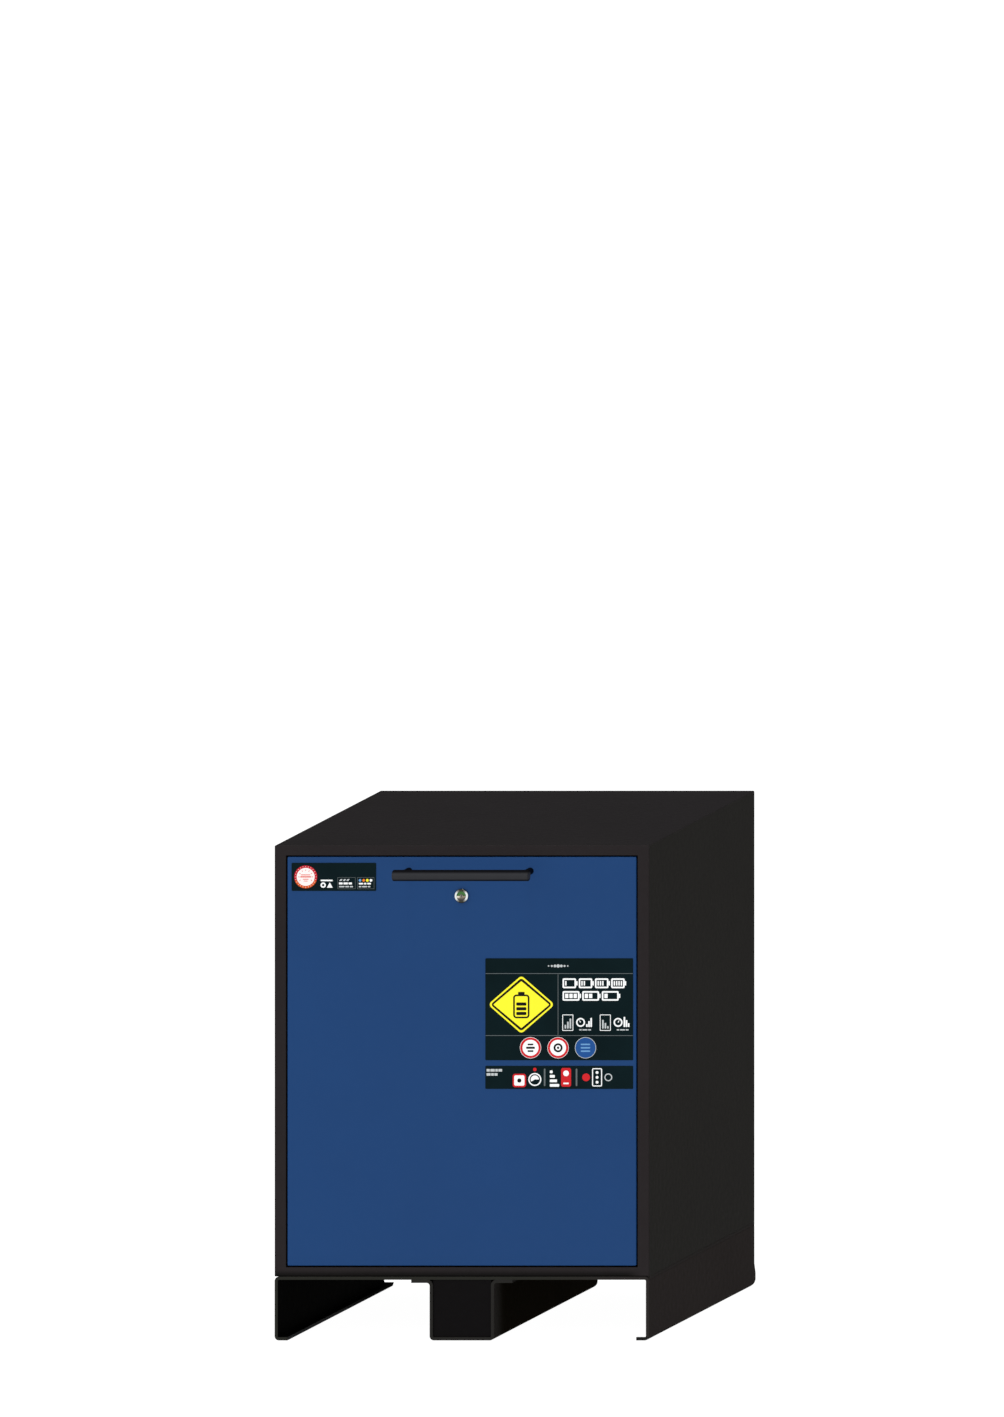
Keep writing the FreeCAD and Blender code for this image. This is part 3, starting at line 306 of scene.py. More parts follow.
def wrap_coat():
    """The wrap's coat: the same grey, with painted shade that leaves the faces that look up a touch darker and warmer
    than the sides.
    """
    m, nt, sh = new_material("coat_wrap")
    q = Sums(nt)
    wave = noise(nt, q.vec, 5.0, 4.0, 0.6)
    side = blend_colours(nt, wave, (0.0183, 0.0173, 0.0158), (0.0199, 0.0189, 0.0172))
    top = blend_colours(nt, wave, (0.0170, 0.0149, 0.0156), (0.0184, 0.0161, 0.0169))
    # painted shade: faces that look up take a darker copy of the side colour
    link(nt, q.over(q.ramp(q.nz, 0.3, 0.7), side, top), sh.inputs["Base Color"])
    coat_skin(nt, sh, q.vec, 0.57, 0.68, 0.12, 0.0004)
    return m


def base_coat():
    """The base's black coat: front-facing cut edges in a tint of their own, and painted shade that makes the inner
    faces, lip tops and undersides near black.
    """
    m, nt, sh = new_material("coat_base")
    q = Sums(nt)
    body = blend_colours(nt, noise(nt, q.vec, 5.0, 4.0, 0.6), (0.0195, 0.0160, 0.0150), (0.0215, 0.0176, 0.0166))
    ax = q.op("ABSOLUTE", q.x)
    # painted shade: side-wall faces turned towards the middle, lip tops and faces that look down go near black
    towards_middle = q.less(q.op("MULTIPLY", q.x, q.nx), -0.02)
    inner_wall = q.both(towards_middle, q.more(ax, 0.2), q.more(q.z, 0.0053))
    lip_top = q.both(q.less(q.z, 0.008), q.more(q.nz, 0.4))
    under = q.less(q.nz, -0.5)
    dark = q.op("MULTIPLY", q.either(inner_wall, lip_top, under), 0.97)
    # painted shade: the lip's inner edge runs from grey at the front to near black towards the back
    rim = q.both(q.less(q.z, 0.0053), q.more(q.nx, 0.5), q.less(q.x, 0.0))
    grey = q.over(q.ramp(q.y, -0.10, 0.20), (0.0225, 0.0225, 0.0235), (0.0015, 0.0015, 0.0015))
    cut = q.over(q.ramp(q.x, 0.12, 0.285), (0.0162, 0.0164, 0.0130), (0.0190, 0.0160, 0.0152))
    cut = q.over(q.both(q.less(q.z, 0.0052), q.more(q.x, 0.27)), cut, (0.0085, 0.0080, 0.0078))
    edge = q.less(q.ny, -0.8)
    c = q.over(dark, body, (0.0004, 0.0004, 0.0003))
    c = q.over(rim, c, grey)
    c = q.over(edge, c, cut)
    link(nt, c, sh.inputs["Base Color"])
    coat_skin(nt, sh, q.vec)
    return m


def channel_coat():
    """The channel's coat: painted shade darkens it towards the back and on its undersides, where it falls into the dark
    under the base.
    """
    m, nt, sh = new_material("coat_channel")
    q = Sums(nt)
    body = blend_colours(nt, noise(nt, q.vec, 5.0, 4.0, 0.6), (0.0150, 0.0136, 0.0122), (0.0166, 0.0150, 0.0135))
    # painted shade: near black towards the back and on faces that look down
    deep = q.ramp(q.y, -0.3065, -0.2450)
    dark = q.either(deep, q.less(q.nz, -0.5))
    edge = q.less(q.ny, -0.8)
    c = q.over(q.op("MULTIPLY", dark, 0.98), body, (0.0026, 0.0016, 0.0003))
    c = q.over(edge, c, (0.0172, 0.0164, 0.0150))
    link(nt, c, sh.inputs["Base Color"])
    coat_skin(nt, sh, q.vec, level=0.06)
    return m


def joint_seal():
    """Thin overpainted bead, tooled flush with the sheets above and below."""
    m, nt, sh = new_material("side_seal")
    vec = coords(nt)
    link(nt, blend_colours(nt, noise(nt, vec, 5.0, 4.0, 0.6), (0.0192, 0.0170, 0.0160), (0.0208, 0.0184, 0.0173)), sh.inputs["Base Color"])
    link(nt, remap(nt, noise(nt, vec, 90.0, 3.0, 0.6), 0.6, 0.7), sh.inputs["Roughness"])
    link(nt, bump(nt, noise(nt, vec, 260.0, 2.0, 0.5), 0.25, 0.00006), sh.inputs["Normal"])
    sh.inputs["Specular IOR Level"].default_value = 0.1
    return m


def handle_coat():
    """Black coat on the round bar: silky along the middle, with painted shade that darkens it towards its upper and
    lower limbs.
    """
    m, nt, sh = new_material("coat_handle")
    q = Sums(nt)
    dz = q.op("SUBTRACT", q.z, 0.751)
    body = blend_colours(nt, noise(nt, q.vec, 24.0, 3.0, 0.6), (0.0275, 0.0282, 0.0318), (0.0300, 0.0308, 0.0345))
    # painted shade: the bar's colour runs to near black towards its top and bottom limbs
    limb_painted_shade = q.either(q.ramp(dz, 0.0030, 0.0072), q.ramp(dz, -0.0040, -0.0080))
    link(nt, q.over(q.op("MULTIPLY", limb_painted_shade, 0.94), body, (0.0012, 0.0012, 0.0024)), sh.inputs["Base Color"])
    skin = remap(nt, noise(nt, q.vec, 160.0, 3.0, 0.6), 0.36, 0.46)
    link(nt, q.op("ADD", skin, q.ramp(dz, 0.0015, 0.0060, 0.0, 0.5)), sh.inputs["Roughness"])
    sh.inputs["Specular IOR Level"].default_value = 0.06
    n = bump(nt, noise(nt, q.vec, 260.0, 2.0, 0.5), 0.15, 0.00006, soft_edges(nt, 0.0006))
    n = bump(nt, noise(nt, q.vec, 1100.0, 2.0, 0.5), 0.2, 0.00004, n)
    link(nt, n, sh.inputs["Normal"])
    return m


def lock_face():
    """A turned ring round a darker satin lower half, coloured with a painted reflection: bright at its sides, dark at
    its top and bottom.

    The lower half carries painted light too: a painted highlight on the left, and painted shade low on the right and
    towards the bottom.
    """
    m, nt, sh = new_material("lock_face")
    q = Sums(nt)
    dz = q.op("SUBTRACT", q.z, 0.7115)
    ax = q.op("ABSOLUTE", q.x)
    rad = q.op("SQRT", q.op("ADD", q.op("MULTIPLY", q.x, q.x), q.op("MULTIPLY", dz, dz)))
    side = q.op("DIVIDE", ax, q.op("ADD", rad, 0.0001))
    # painted reflection: the ring's colour is bright where it runs sideways and dark at its top and bottom
    ring_painted_sheen = nt.nodes.new("ShaderNodeValToRGB")
    els = ring_painted_sheen.color_ramp.elements
    els[0].position, els[0].color = 0.30, (0.060, 0.058, 0.045, 1)
    els[1].position, els[1].color = 0.86, (0.92, 0.97, 0.97, 1)
    mid = els.new(0.60)
    mid.color = (0.30, 0.30, 0.28, 1)
    link(nt, side, ring_painted_sheen.inputs["Fac"])
    # painted shade: the lower half darkens towards the bottom
    low = nt.nodes.new("ShaderNodeValToRGB")
    els = low.color_ramp.elements
    els[0].position, els[0].color = 0.0, (0.05, 0.05, 0.055, 1)
    els[1].position, els[1].color = 1.0, (0.36, 0.30, 0.23, 1)
    mid = els.new(0.45)
    mid.color = (0.13, 0.11, 0.095, 1)
    link(nt, q.ramp(dz, -0.0080, -0.0005), low.inputs["Fac"])
    centre = q.both(q.less(rad, 0.0076), q.less(dz, 0.0008))
    # painted highlight on the left of the lower half, and painted shade low on its right
    satin = q.over(q.both(q.ramp(q.x, -0.0012, -0.0046), q.ramp(dz, -0.0042, -0.0016), 0.9), low.outputs["Color"], (0.93, 0.88, 0.72))
    satin = q.over(q.both(q.ramp(q.x, 0.0020, 0.0062), q.ramp(dz, -0.0010, -0.0045), 0.75), satin, (0.045, 0.045, 0.042))
    link(nt, q.over(centre, ring_painted_sheen.outputs["Color"], satin), sh.inputs["Base Color"])
    marks = noise(nt, q.vec, 1400.0, 3.0, 0.6)
    link(nt, remap(nt, marks, 0.12, 0.24), sh.inputs["Roughness"])
    link(nt, bump(nt, marks, 0.1, 0.00002, soft_edges(nt, 0.0003)), sh.inputs["Normal"])
    sh.inputs["Metallic"].default_value = 1.0
    return m


COAT_WRAP = wrap_coat()
COAT_FRAME = frame_coat()
COAT_BASE = base_coat()
CHANNEL_COAT = channel_coat()
PLATE_COAT = powder_coat("coat_plate", (0.0040, 0.0034, 0.0037), rough=0.66, level=0.05)
SIDE_SEAL = joint_seal()
HANDLE_COAT = handle_coat()
POST_COAT = powder_coat("coat_post", (0.0010, 0.0012, 0.0022), rough=0.5, level=0.04, grain=0.5)
LOCK_FACE = lock_face()

FINISH = {
    "base_frame": COAT_BASE, "base_channel": CHANNEL_COAT, "channel_end_plates": PLATE_COAT,
    "base_bolts": ZINC_PART, "side_seals": SIDE_SEAL,
    "casing_wrap": COAT_WRAP, "casing_back": COAT_BACK, "casing_floor": ZINC_SHEET, "face_frame": COAT_FRAME,
    "frame_fillers": FIRE_BOARD, "jamb_frame": ZINC_SHEET, "intumescent_strip": STRIP,
    "insulation_back": FIRE_BOARD, "insulation_top": FIRE_BOARD, "insulation_bottom": FIRE_BOARD, "insulation_sides": FIRE_BOARD,
    "liner_sides": LINER, "liner_top": LINER, "liner_bottom": LINER, "liner_back": LINER,
    "strike_plate": ZINC_PART, "duct_spigots": ZINC_SHEET, "exhaust_grille": COAT_GREY, "supply_duct": COAT_GREY,
    "cable_gland": NICKEL, "earth_stud": ZINC_PART, "heat_detector": WHITE_PLASTIC,
    "slide_cabinet_rails": ZINC_RAIL, "slide_rail_screws": ZINC_PART, "back_screws": ZINC_PART,
    "front_skin": COAT_BLUE, "front_insulation": FIRE_BOARD, "front_back_plate": COAT_GREY, "front_gasket": SEAL,
    "handle_bar": HANDLE_COAT, "handle_posts": POST_COAT, "lock_housing": LOCK_FACE, "lock_nut": ZINC_PART,
    "label_plates": FILM, "drawer_side_left": COAT_GREY, "drawer_side_right": COAT_GREY, "drawer_back": COAT_GREY,
    "spill_tray": ZINC_SHEET, "perforated_floor": COAT_GREY, "drawer_screws": ZINC_PART, "slide_drawer_rails": ZINC_RAIL,
    "socket_strip": ALUMINIUM, "strip_sockets": BLACK_PLASTIC,
    "slide_middle_left": ZINC_RAIL, "slide_middle_right": ZINC_RAIL, "ball_cages_outer": ZINC_PART, "ball_cages_inner": ZINC_PART,
    "lock_plug": PLUG, "lock_cam": ZINC_PART, "lock_disc_green": DISC_GREEN, "lock_disc_red": DISC_RED,
    "exhaust_flap": ZINC_SHEET, "supply_flap": ZINC_SHEET, "strip_rocker": RED_PLASTIC,
}
for name, obj in NODES.items():
    obj.data.materials.clear()
    obj.data.materials.append(FINISH[name])
for name in ("handle_bar", "handle_posts"):
    NODES[name].visible_diffuse = False


# ---------------------------------------------------------------- label print
# Flat shapes in millimetres on the front plane, x to the right and z up. Each
# is a thin raised print, and a later layer lies on the one under it.
PLATE_Y = -0.3080
LAYER = 0.00012
prints = {}


def lay(ink, loop, layer=1, hole=None):
    """Adds a raised shape: loop is its outline, hole an equal number of points."""
    verts, faces = prints.setdefault(ink, ([], []))
    yb = PLATE_Y - LAYER * (layer - 1)
    yf = PLATE_Y - LAYER * layer
    n = len(loop)
    base = len(verts)
    for y in (yf, yb):
        verts += [(x / 1000, y, z / 1000) for x, z in loop]
    if hole is None:
        faces.append([base + i for i in range(n)])
        for i in range(n):
            j = (i + 1) % n
            faces.append([base + j, base + i, base + n + i, base + n + j])
        return
    for y in (yf, yb):
        verts += [(x / 1000, y, z / 1000) for x, z in hole]
    for i in range(n):
        j = (i + 1) % n
        faces.append([base + i, base + j, base + 2 * n + j, base + 2 * n + i])
        faces.append([base + j, base + i, base + n + i, base + n + j])
        faces.append([base + 2 * n + i, base + 2 * n + j, base + 3 * n + j, base + 3 * n + i])


def rounded(x0, x1, z0, z1, r, steps=5):
    r = min(r, (x1 - x0) / 2 - 1e-3, (z1 - z0) / 2 - 1e-3)
    pts = []
    for cx, cz, a0 in ((x1 - r, z1 - r, 0), (x0 + r, z1 - r, 90), (x0 + r, z0 + r, 180), (x1 - r, z0 + r, 270)):
        for i in range(steps + 1):
            a = math.radians(a0 + 90 * i / steps)
            pts.append((cx + r * math.cos(a), cz + r * math.sin(a)))
    return pts[::-1]


def circle(cx, cz, r, n=48, a0=0.0, a1=360.0):
    return [(cx + r * math.cos(math.radians(a)), cz + r * math.sin(math.radians(a))) for a in [a0 + (a1 - a0) * i / n for i in range(n)]][::-1]


def block(ink, x0, x1, z0, z1, r=0.6, layer=1):
    lay(ink, rounded(x0, x1, z0, z1, r), layer)


def frame_line(ink, x0, x1, z0, z1, w, r=1.0, layer=1):
    lay(ink, rounded(x0, x1, z0, z1, r), layer, rounded(x0 + w, x1 - w, z0 + w, z1 - w, max(0.2, r - w)))


def ring_line(ink, cx, cz, r1, r0, layer=1):
    lay(ink, circle(cx, cz, r1), layer, circle(cx, cz, r0))


def sector(ink, cx, cz, r1, r0, a0, a1, layer=1, n=24):
    outer = [(cx + r1 * math.cos(math.radians(a0 + (a1 - a0) * i / n)), cz + r1 * math.sin(math.radians(a0 + (a1 - a0) * i / n))) for i in range(n + 1)]
    inner = [(cx + r0 * math.cos(math.radians(a1 - (a1 - a0) * i / n)), cz + r0 * math.sin(math.radians(a1 - (a1 - a0) * i / n))) for i in range(n + 1)]
    for i in range(n):
        quad = [outer[i], outer[i + 1], inner[n - i - 1], inner[n - i]]
        lay(ink, quad[::-1], layer)


def poly(ink, pts, layer=1):
    area = sum(pts[i][0] * pts[(i + 1) % len(pts)][1] - pts[(i + 1) % len(pts)][0] * pts[i][1] for i in range(len(pts)))
    lay(ink, pts[::-1] if area > 0 else pts, layer)


def dashes(ink, x0, z0, z1, widths, gap, r=0.8, layer=1):
    x = x0
    for w in widths:
        block(ink, x, x + w, z0, z1, r, layer)
        x += w + gap


def cell(ink, x0, x1, z0, z1, w, bars, layer=1, inner=None):
    """A plain battery cell: outline, terminal and charge bars."""
    frame_line(ink, x0, x1, z0, z1, w, 2.0 * w, layer)
    mid = (x0 + x1) / 2
    tw = (x1 - x0) * 0.2
    block(ink, mid - tw, mid + tw, z1, z1 + 1.6 * w, 0.3 * w, layer)
    h = (z1 - z0 - 2 * w) / (bars[1] * 1.5 + 0.5)
    for i in range(bars[0]):
        zb = z0 + w + h * (0.5 + 1.5 * i)
        block(inner or ink, x0 + 1.9 * w, x1 - 1.9 * w, zb, zb + h, 0.3 * h, layer)


# large label
LX0, LX1, LZ0, LZ1 = 37.8, 274.1, 448.4, 611.4
block("grey", LX0 + 0.4, LX1 - 0.4, 586.6, 587.5, 0.1)
block("grey", LX0 + 0.4, LX1 - 0.4, 487.4, 488.3, 0.1)
block("grey", 153.7, 154.6, 489.0, 585.9, 0.1)
# top band: a plain row of charge dots
for i, r in enumerate((1.2, 1.7, 2.2, 2.7, 2.2, 1.7, 1.2)):
    lay("pale", circle(139.0 + 5.1 * i, 599.2, r, 20))
# yellow lozenge with one plain cell
def lozenge(ink, cx, cz, w, h, r, layer=1, hole=None):
    def corners(w, h, r):
        """A rounded rhombus, walked clockwise from the right."""
        pts = []
        lean = math.degrees(math.atan2(h, w))
        for px, pz, mid in ((w, 0, 0), (0, h, 90), (-w, 0, 180), (0, -h, 270)):
            half = 90 - lean if mid % 180 == 0 else lean
            reach = r / math.cos(math.radians(half))
            qx, qz = px - math.copysign(reach, px) * (px != 0), pz - math.copysign(reach, pz) * (pz != 0)
            for i in range(7):
                a = math.radians(mid - half + 2 * half * i / 6)
                pts.append((cx + qx + r * math.cos(a), cz + qz + r * math.sin(a)))
        return pts[::-1]

    lay(ink, corners(w, h, r), layer, None if hole is None else corners(w - hole * 1.34, h - hole * 1.42, max(1.0, r - hole)))


lozenge("yellow", 95.4, 537.4, 53.5, 46.5, 6.0)
lozenge("black", 95.4, 537.4, 49.5, 42.6, 4.6, 2, 3.4)
cell("black", 82.4, 108.4, 515.5, 553.5, 2.6, (3, 4), 2)


# two rows of charge symbols
def charge(x0, z0, w, h, t, bars, full):
    frame_line("white", x0, x0 + w - 2.4, z0, z0 + h, t, 2.2)
    block("white", x0 + w - 2.2, x0 + w, z0 + h * 0.28, z0 + h * 0.72, 0.6)
    step = (w - 2.4 - 2 * t - 1.6) / full
    for i in range(bars):
        block("white", x0 + t + 1.6 + step * i, x0 + t + step * (i + 1), z0 + t + 1.7, z0 + h - t - 1.7, 0.4)


for i in range(4):
    charge(161.4 + 25.9 * i, 563.6, 24.0, 15.8, 2.5, i + 1, 4)
for i in range(3):
    charge(161.4 + 31.4 * i, 543.6, 29.4, 15.4, 2.5, 3 - i, 3)
# two outlined boxes, with a dial and rising columns beside each
for x0, flip in ((161.0, False), (221.0, True)):
    frame_line("white", x0, x0 + 17.5, 495.5, 521.5, 1.1, 1.0)
    for i, top in enumerate((513.0, 508.0, 503.0) if flip else (505.0, 510.0, 515.0)):
        dashes("pale", x0 + 3.6 + 4.0 * i, 499.0, top, (2.6,), 0)
    ring_line("white", x0 + 29.2, 508.9, 7.2, 4.9)
    for a in ((150, 60) if flip else (120, 30)):
        c, sn = math.cos(math.radians(a)), math.sin(math.radians(a))
        if a in (60, 120):
            poly("white", [(x0 + 29.2 - 0.9 * sn, 508.9 + 0.9 * c), (x0 + 29.2 + 0.9 * sn, 508.9 - 0.9 * c), (x0 + 29.2 + 5.2 * c, 508.9 + 5.2 * sn)])
    for i, top in enumerate((506.0, 511.0, 516.0)):
        block("white", x0 + 38.0 + 3.4 * i, x0 + 40.6 + 3.4 * i, 501.6, 522.0 - (top - 501.6) if flip else top, 0.4)
    dashes("pale", x0 + 27.0, 496.0, 498.0, (4.0, 8.0, 4.5), 1.2, 0.5)
# three discs
for i, cx in enumerate((110.1, 154.2, 198.1)):
    cz = 468.3
    if i < 2:
        lay("white", circle(cx, cz, 17.0))
        ring_line("red", cx, cz, 16.4, 12.9, 2)
        if i == 0:
            block("black", cx - 7.0, cx + 7.0, cz - 1.6, cz + 1.6, 1.2, 2)
            block("black", cx - 4.6, cx + 4.6, cz + 4.0, cz + 6.6, 1.0, 2)
            block("black", cx - 4.6, cx + 4.6, cz - 6.6, cz - 4.0, 1.0, 2)
        else:
            ring_line("black", cx, cz, 7.2, 4.2, 2)
            lay("black", circle(cx, cz, 1.9, 20), 2)
    else:
        lay("pale", circle(cx, cz, 17.0))
        lay("blue", circle(cx, cz, 16.1), 2)
        for k in range(3):
            block("sky", cx - 7.6, cx + 7.6, cz - 6.6 + 5.4 * k, cz - 4.2 + 5.4 * k, 1.0, 3)

# lower label
dashes("pale", 39.8, 430.2, 434.4, (5.2, 7.0, 4.0, 6.0), 0.9, 0.6)
dashes("pale", 39.8, 423.6, 427.8, (6.4, 4.4, 5.0), 0.9, 0.6)
block("red", 81.5, 103.0, 405.2, 426.7, 4.0)
block("white", 84.0, 100.5, 407.7, 424.2, 2.4, 2)
lay("black", circle(92.25, 415.95, 3.3, 24), 3)
ring_line("white", 117.0, 417.6, 10.4, 8.4)
sector("white", 117.0, 417.6, 6.6, 0.2, 0, 210)
lay("red", circle(117.0, 433.6, 2.8, 24))
block("grey", 131.4, 134.0, 407.0, 435.0, 1.2)
for i, w in enumerate((15.0, 11.5, 8.0, 4.5)):
    block("white", 141.0, 141.0 + w, 406.0 + 7.2 * i, 410.4 + 7.2 * i, 1.0)
block("red", 159.0, 175.0, 406.0, 436.0, 3.2)
lay("white", circle(167.0, 427.4, 4.6, 32), 2)
block("white", 162.6, 171.4, 410.0, 412.6, 0.8, 2)
block("grey", 182.4, 185.0, 407.0, 435.0, 1.2)
lay("red", circle(199.0, 421.0, 6.2, 40))
frame_line("white", 208.6, 224.6, 406.4, 435.6, 1.6, 2.4)
for i in range(3):
    lay("white", circle(216.6, 413.2 + 7.8 * i, 2.3, 20))
lay("pale", circle(234.6, 421.0, 6.2, 40), 1, circle(234.6, 421.0, 4.6, 40))

# top label: a gauge-like badge and three small groups
bx, bz = -249.6, 741.7
sector("crimson", bx, bz, 18.3, 14.4, -20, 200, 1, 44)
sector("amber", bx, bz, 18.3, 14.4, 200, 340, 1, 28)
lay("blush", circle(bx, bz, 14.4))
for i in range(24):
    a = math.radians(15 * i)
    lay("cream", circle(bx + 16.5 * math.cos(a), bz + 16.5 * math.sin(a), 0.6, 12), 2)
for i in range(9):
    a = math.radians(-30 + 30 * i)
    p, q = (11.8, 9.6)
    s, c = math.sin(a), math.cos(a)
    poly("rose", [(bx + p * c - 0.5 * s, bz + p * s + 0.5 * c), (bx + p * c + 0.5 * s, bz + p * s - 0.5 * c), (bx + q * c + 0.5 * s, bz + q * s - 0.5 * c), (bx + q * c - 0.5 * s, bz + q * s + 0.5 * c)], 2)
block("rose", bx - 7.4, bx + 7.4, bz + 2.6, bz + 3.9, 0.5, 2)
block("rose", bx - 8.6, bx + 8.6, bz - 0.9, bz + 1.1, 0.6, 2)
block("rose", bx - 4.4, bx + 4.4, bz - 4.4, bz - 3.2, 0.4, 2)
block("rose", bx - 3.2, bx + 3.2, bz - 7.2, bz - 6.2, 0.4, 2)
lay("white", circle(-221.6, 728.6, 4.3, 28))
lay("film", circle(-221.6, 728.6, 1.9, 20), 2)
poly("white", [(-215.6, 724.4), (-206.4, 724.4), (-211.0, 733.0)])
block("white", -225.6, -206.4, 734.8, 737.2, 0.8)
frame_line("grey", -198.6, -170.0, 722.4, 741.0, 0.5, 0.4)
for i in range(3):
    poly("pale", [(-196.0 + 5.6 * i, 735.2), (-192.6 + 5.6 * i, 735.2), (-190.4 + 5.6 * i, 738.2), (-193.8 + 5.6 * i, 738.2)])
dashes("white", -196.4, 729.6, 732.8, (6.0, 7.0, 5.5), 1.2, 0.8)
dashes("pale", -196.4, 725.0, 727.2, (9.0, 6.0, 5.0), 1.2, 0.6)
frame_line("grey", -167.0, -140.0, 722.4, 741.0, 0.5, 0.4)
for i, ink in enumerate(("sky", "orange", "yellow", "white")):
    lay(ink, circle(-162.6 + 5.8 * i, 736.2, 2.2, 20))
dashes("white", -164.6, 729.6, 732.2, (7.0, 4.0, 6.0), 1.2, 0.6)
dashes("pale", -164.6, 725.0, 727.2, (4.0, 8.0, 4.0), 1.2, 0.6)

INKS = {
    "film": (0.0030, 0.0098, 0.0118), "grey": (0.115, 0.135, 0.14), "pale": (0.50, 0.53, 0.54), "white": (0.90, 0.92, 0.92), "black": (0.004, 0.004, 0.004),
    "yellow": (0.93, 0.86, 0.03), "red": (0.58, 0.014, 0.020), "blue": (0.012, 0.075, 0.27), "sky": (0.14, 0.32, 0.58),
    "orange": (0.80, 0.19, 0.03), "rose": (0.75, 0.16, 0.13), "cream": (0.88, 0.70, 0.60),
    "crimson": (0.50, 0.010, 0.028), "amber": (0.62, 0.085, 0.008), "blush": (0.92, 0.84, 0.82),
}
for ink, (verts, faces) in prints.items():
    me = bpy.data.meshes.new("label_print_" + ink)
    me.from_pydata(verts, [], faces)
    me.validate()
    me.update()
    ob = bpy.data.objects.new("label_print_" + ink, me)
    bpy.context.scene.collection.objects.link(ob)
    me.materials.append(plastic("ink_" + ink, INKS[ink], rough=0.5, level=0.12, grain=0.12, vary=0.03))
    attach(ob, "drawer")

# ---------------------------------------------------------------- rear markings
# A blank plate with rows of plain bars, and an arrow beside each air spigot.
YR = 0.3076
rear = {}


def stand(key, loop, y, t):
    """Adds a shape on the rear sheet: loop in metres, x and z, t proud of y."""
    verts, faces = rear.setdefault(key, ([], []))
    area = sum(loop[i][0] * loop[(i + 1) % len(loop)][1] - loop[(i + 1) % len(loop)][0] * loop[i][1] for i in range(len(loop)))
    if area > 0:
        loop = loop[::-1]
    n, k = len(loop), len(verts)
    verts += [(x, y, z) for x, z in loop] + [(x, y + t, z) for x, z in loop]
    faces.append([k + n + i for i in range(n)])
    faces.append([k + n - 1 - i for i in range(n)])
    faces.extend([k + i, k + (i + 1) % n, k + n + (i + 1) % n, k + n + i] for i in range(n))


def bar(key, x, z, w, h, y, t, r):
    stand(key, [((x - u / 1000), z + v / 1000) for u, v in rounded(0, w, 0, h, r)], y, t)


bar("rating_plate", 0.055, 0.300, 110, 64, YR, 0.0005, 3.0)
for z, widths in ((0.350, (46, 30)), (0.342, (22, 34, 16)), (0.332, (30, 18, 26)), (0.324, (16, 40)), (0.316, (34, 22, 14)), (0.308, (20, 12, 30))):
    x = 0.047
    for w in widths:
        bar("rating_rows", x, z, w, 3.4, YR + 0.0005, 0.00012, 0.8)
        x -= (w + 2.6) / 1000
for sx in (-1, 1):
    for sz in (-1, 1):
        stand("plate_rivets", [(sx * 0.0505 + 0.0016 * math.cos(math.radians(a)), 0.332 + sz * 0.0275 + 0.0016 * math.sin(math.radians(a))) for a in range(0, 360, 24)], YR + 0.0005, 0.0006)
for cx, out in ((0.15, True), (-0.15, False)):
    bar("air_marks", cx + 0.003, 0.606 if out else 0.622, 6, 16, YR, 0.00012, 0.5)
    z0, z1 = (0.622, 0.634) if out else (0.622, 0.610)
    stand("air_marks", [(cx + 0.010, z0), (cx - 0.010, z0), (cx, z1)], YR, 0.00012)
REAR = {
    "rating_plate": (plated("rating_metal", (0.58, 0.60, 0.62), 0.34, (0.06, 1, 1), metal=0.6, marks=0.5), "spigot_zinc"),
    "plate_rivets": (ZINC_PART, "zinc_steel"),
    "rating_rows": (plastic("rating_ink", (0.02, 0.022, 0.024), rough=0.5, level=0.12, grain=0.12), "label_film"),
    "air_marks": (plastic("rear_mark", (0.62, 0.64, 0.64), rough=0.5, level=0.12, grain=0.12), "plastic_white"),
}
for key, (verts, faces) in rear.items():
    me = bpy.data.meshes.new(key)
    me.from_pydata(verts, [], faces)
    me.validate()
    me.update()
    ob = bpy.data.objects.new(key, me)
    bpy.context.scene.collection.objects.link(ob)
    me.materials.append(REAR[key][0])
    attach(ob, "cabinet")

# ---------------------------------------------------------------------- stage
fl = bpy.data.meshes.new("floor")
fl.from_pydata([(-90, -90, 0), (90, -90, 0), (90, 90, 0), (-90, 90, 0)], [], [(0, 1, 2, 3)])
floor = bpy.data.objects.new("floor", fl)
bpy.context.scene.collection.objects.link(floor)
m, nt, sh = new_material("floor_paint")
fn = noise(nt, coords(nt), 3.0, 3.0, 0.5)
link(nt, blend_colours(nt, fn, (0.11, 0.11, 0.11), (0.12, 0.12, 0.12)), sh.inputs["Base Color"])
sh.inputs["Roughness"].default_value = 0.9
sh.inputs["Specular IOR Level"].default_value = 0.0
sh.inputs["Emission Color"].default_value = (1, 1, 1, 1)
sh.inputs["Emission Strength"].default_value = 0.99
fl.materials.append(m)
floor.visible_glossy = False

# A white surround. Mirror-like rays see a dimmer one, brighter towards the front.
world = bpy.data.worlds.new("surround")
bpy.context.scene.world = world
world.use_nodes = True
world.cycles.sampling_method = "NONE"
wt = world.node_tree
wt.nodes.clear()
wout = wt.nodes.new("ShaderNodeOutputWorld")
bg = wt.nodes.new("ShaderNodeBackground")
wt.links.new(bg.outputs["Background"], wout.inputs["Surface"])
lp = wt.nodes.new("ShaderNodeLightPath")
wtc = wt.nodes.new("ShaderNodeTexCoord")
wsep = wt.nodes.new("ShaderNodeSeparateXYZ")
wt.links.new(wtc.outputs["Generated"], wsep.inputs["Vector"])


def wmath(op, a, b=0.0):
    n = wt.nodes.new("ShaderNodeMath")
    n.operation = op
    for i, v in enumerate((a, b)):
        if isinstance(v, (int, float)):
            n.inputs[i].default_value = v
        else:
            wt.links.new(v, n.inputs[i])
    return n.outputs["Value"]


def wramp(v, a, b, lo, hi):
    r = wt.nodes.new("ShaderNodeMapRange")
    r.interpolation_type = "SMOOTHSTEP"
    r.inputs["From Min"].default_value = a
    r.inputs["From Max"].default_value = b
    r.inputs["To Min"].default_value = lo
    r.inputs["To Max"].default_value = hi
    wt.links.new(v, r.inputs["Value"])
    return r.outputs["Result"]


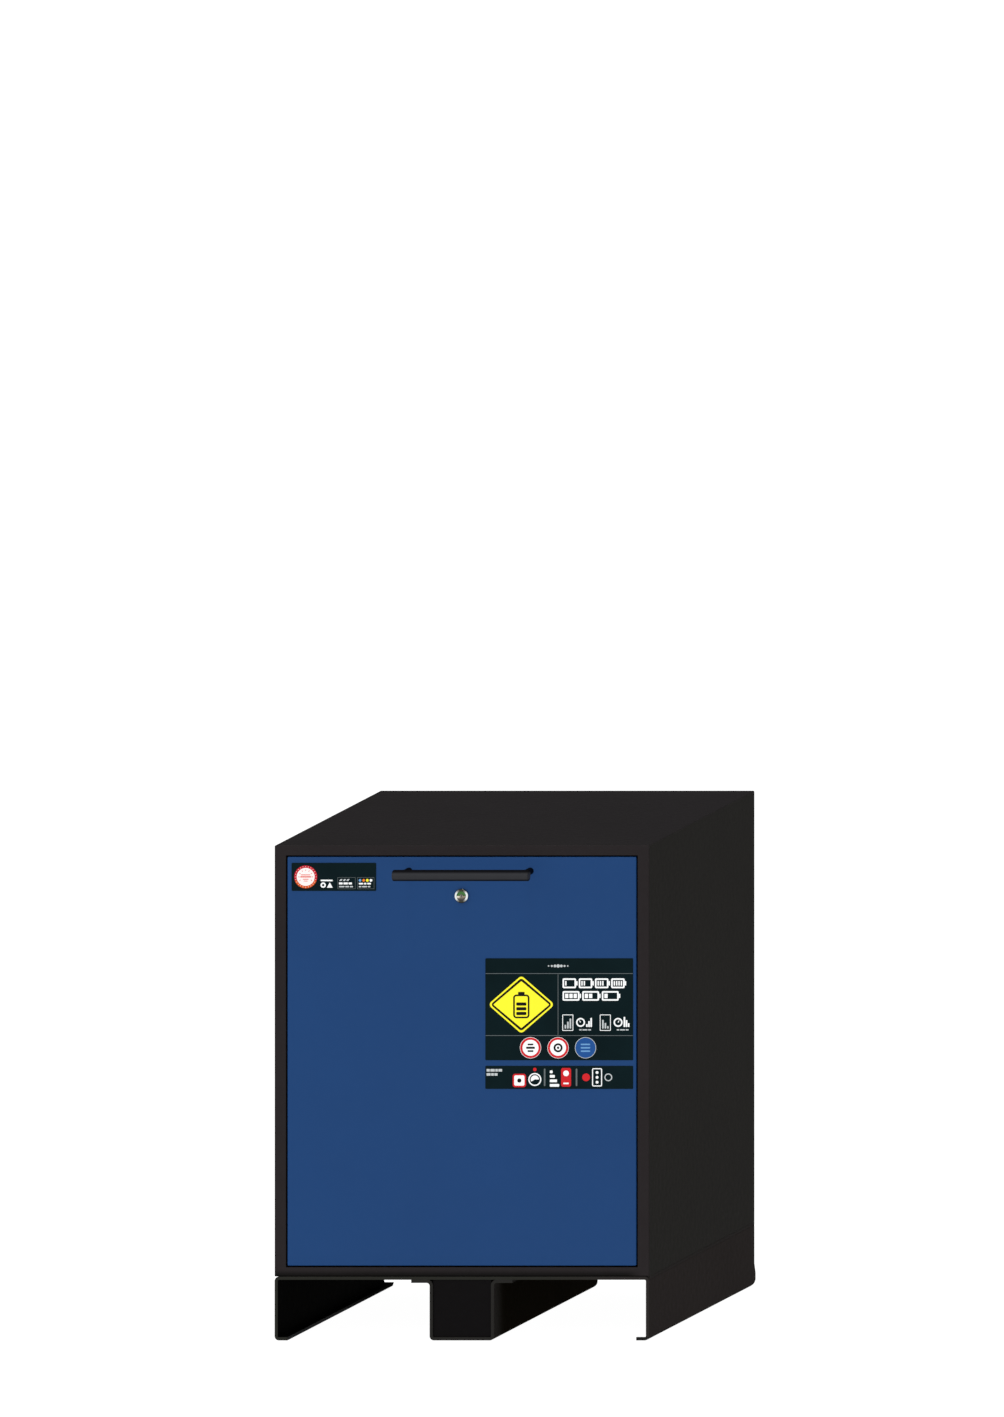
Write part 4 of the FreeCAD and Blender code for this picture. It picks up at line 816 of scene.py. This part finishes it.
front = wmath("MULTIPLY", wsep.outputs["Y"], -1.0)
glossy = wramp(front, 0.2, 0.95, 0.03, 0.9)
diffuse = wmath("ADD", wmath("MULTIPLY", front, 0.22), wmath("ADD", wmath("MULTIPLY", wsep.outputs["X"], -0.2), 0.78))
other = wmath("ADD", wmath("MULTIPLY", lp.outputs["Is Glossy Ray"], glossy), wmath("MULTIPLY", wmath("SUBTRACT", 1.0, lp.outputs["Is Glossy Ray"]), diffuse))
total = wmath("ADD", lp.outputs["Is Camera Ray"], wmath("MULTIPLY", wmath("SUBTRACT", 1.0, lp.outputs["Is Camera Ray"]), other))
wt.links.new(total, bg.inputs["Strength"])
bg.inputs["Color"].default_value = (1, 1, 1, 1)


def sun(name, direction, strength, angle):
    s = bpy.data.lights.new(name, "SUN")
    s.energy = strength
    s.angle = math.radians(angle)
    o = bpy.data.objects.new(name, s)
    bpy.context.scene.collection.objects.link(o)
    o.rotation_euler = Vector(direction).to_track_quat("-Z", "Y").to_euler()
    return o


sun("key", (0.55, 0.75, -0.9), 0.55, 70.0)
sun("overhead", (0.02, 0.05, -1.0), 1.15, 12.0)

# --------------------------------------------------------------------- camera
# The photograph is a slanted parallel drawing: the front is a true rectangle and
# depth runs up to the right. A stand carries that slant, and the camera sits on it.
camera_stand = bpy.data.objects.new("camera_stand", None)
bpy.context.scene.collection.objects.link(camera_stand)
lens = bpy.data.cameras.new("camera")
camera = bpy.data.objects.new("camera", lens)
bpy.context.scene.collection.objects.link(camera)
SLANT_X, SLANT_Z = 0.2742, 0.1423
REACH = 6.0
PX = 0.5990 / 374.4
mid_x = (502.0 - 461.8) * PX
mid_z = 0.792 - (708.5 - 845.4) * PX
away = Vector((SLANT_X, -1.0, SLANT_Z)).normalized()
where = Vector((mid_x, -0.3075, mid_z)) + away * REACH
camera.parent = camera_stand
camera.matrix_parent_inverse = Matrix((
    (1, 0, away.x, where.x),
    (0, 0, away.y, where.y),
    (0, 1, away.z, where.z),
    (0, 0, 0, 1),
))
lens.type = "ORTHO"
lens.ortho_scale = 1417.0 * PX
lens.sensor_fit = "AUTO"
lens.clip_start = 0.1
lens.clip_end = 300.0
bpy.context.scene.camera = camera

vs = bpy.context.scene.view_settings
vs.view_transform = "Standard"
vs.look = "None"
vs.exposure = 0.0
vs.gamma = 1.0
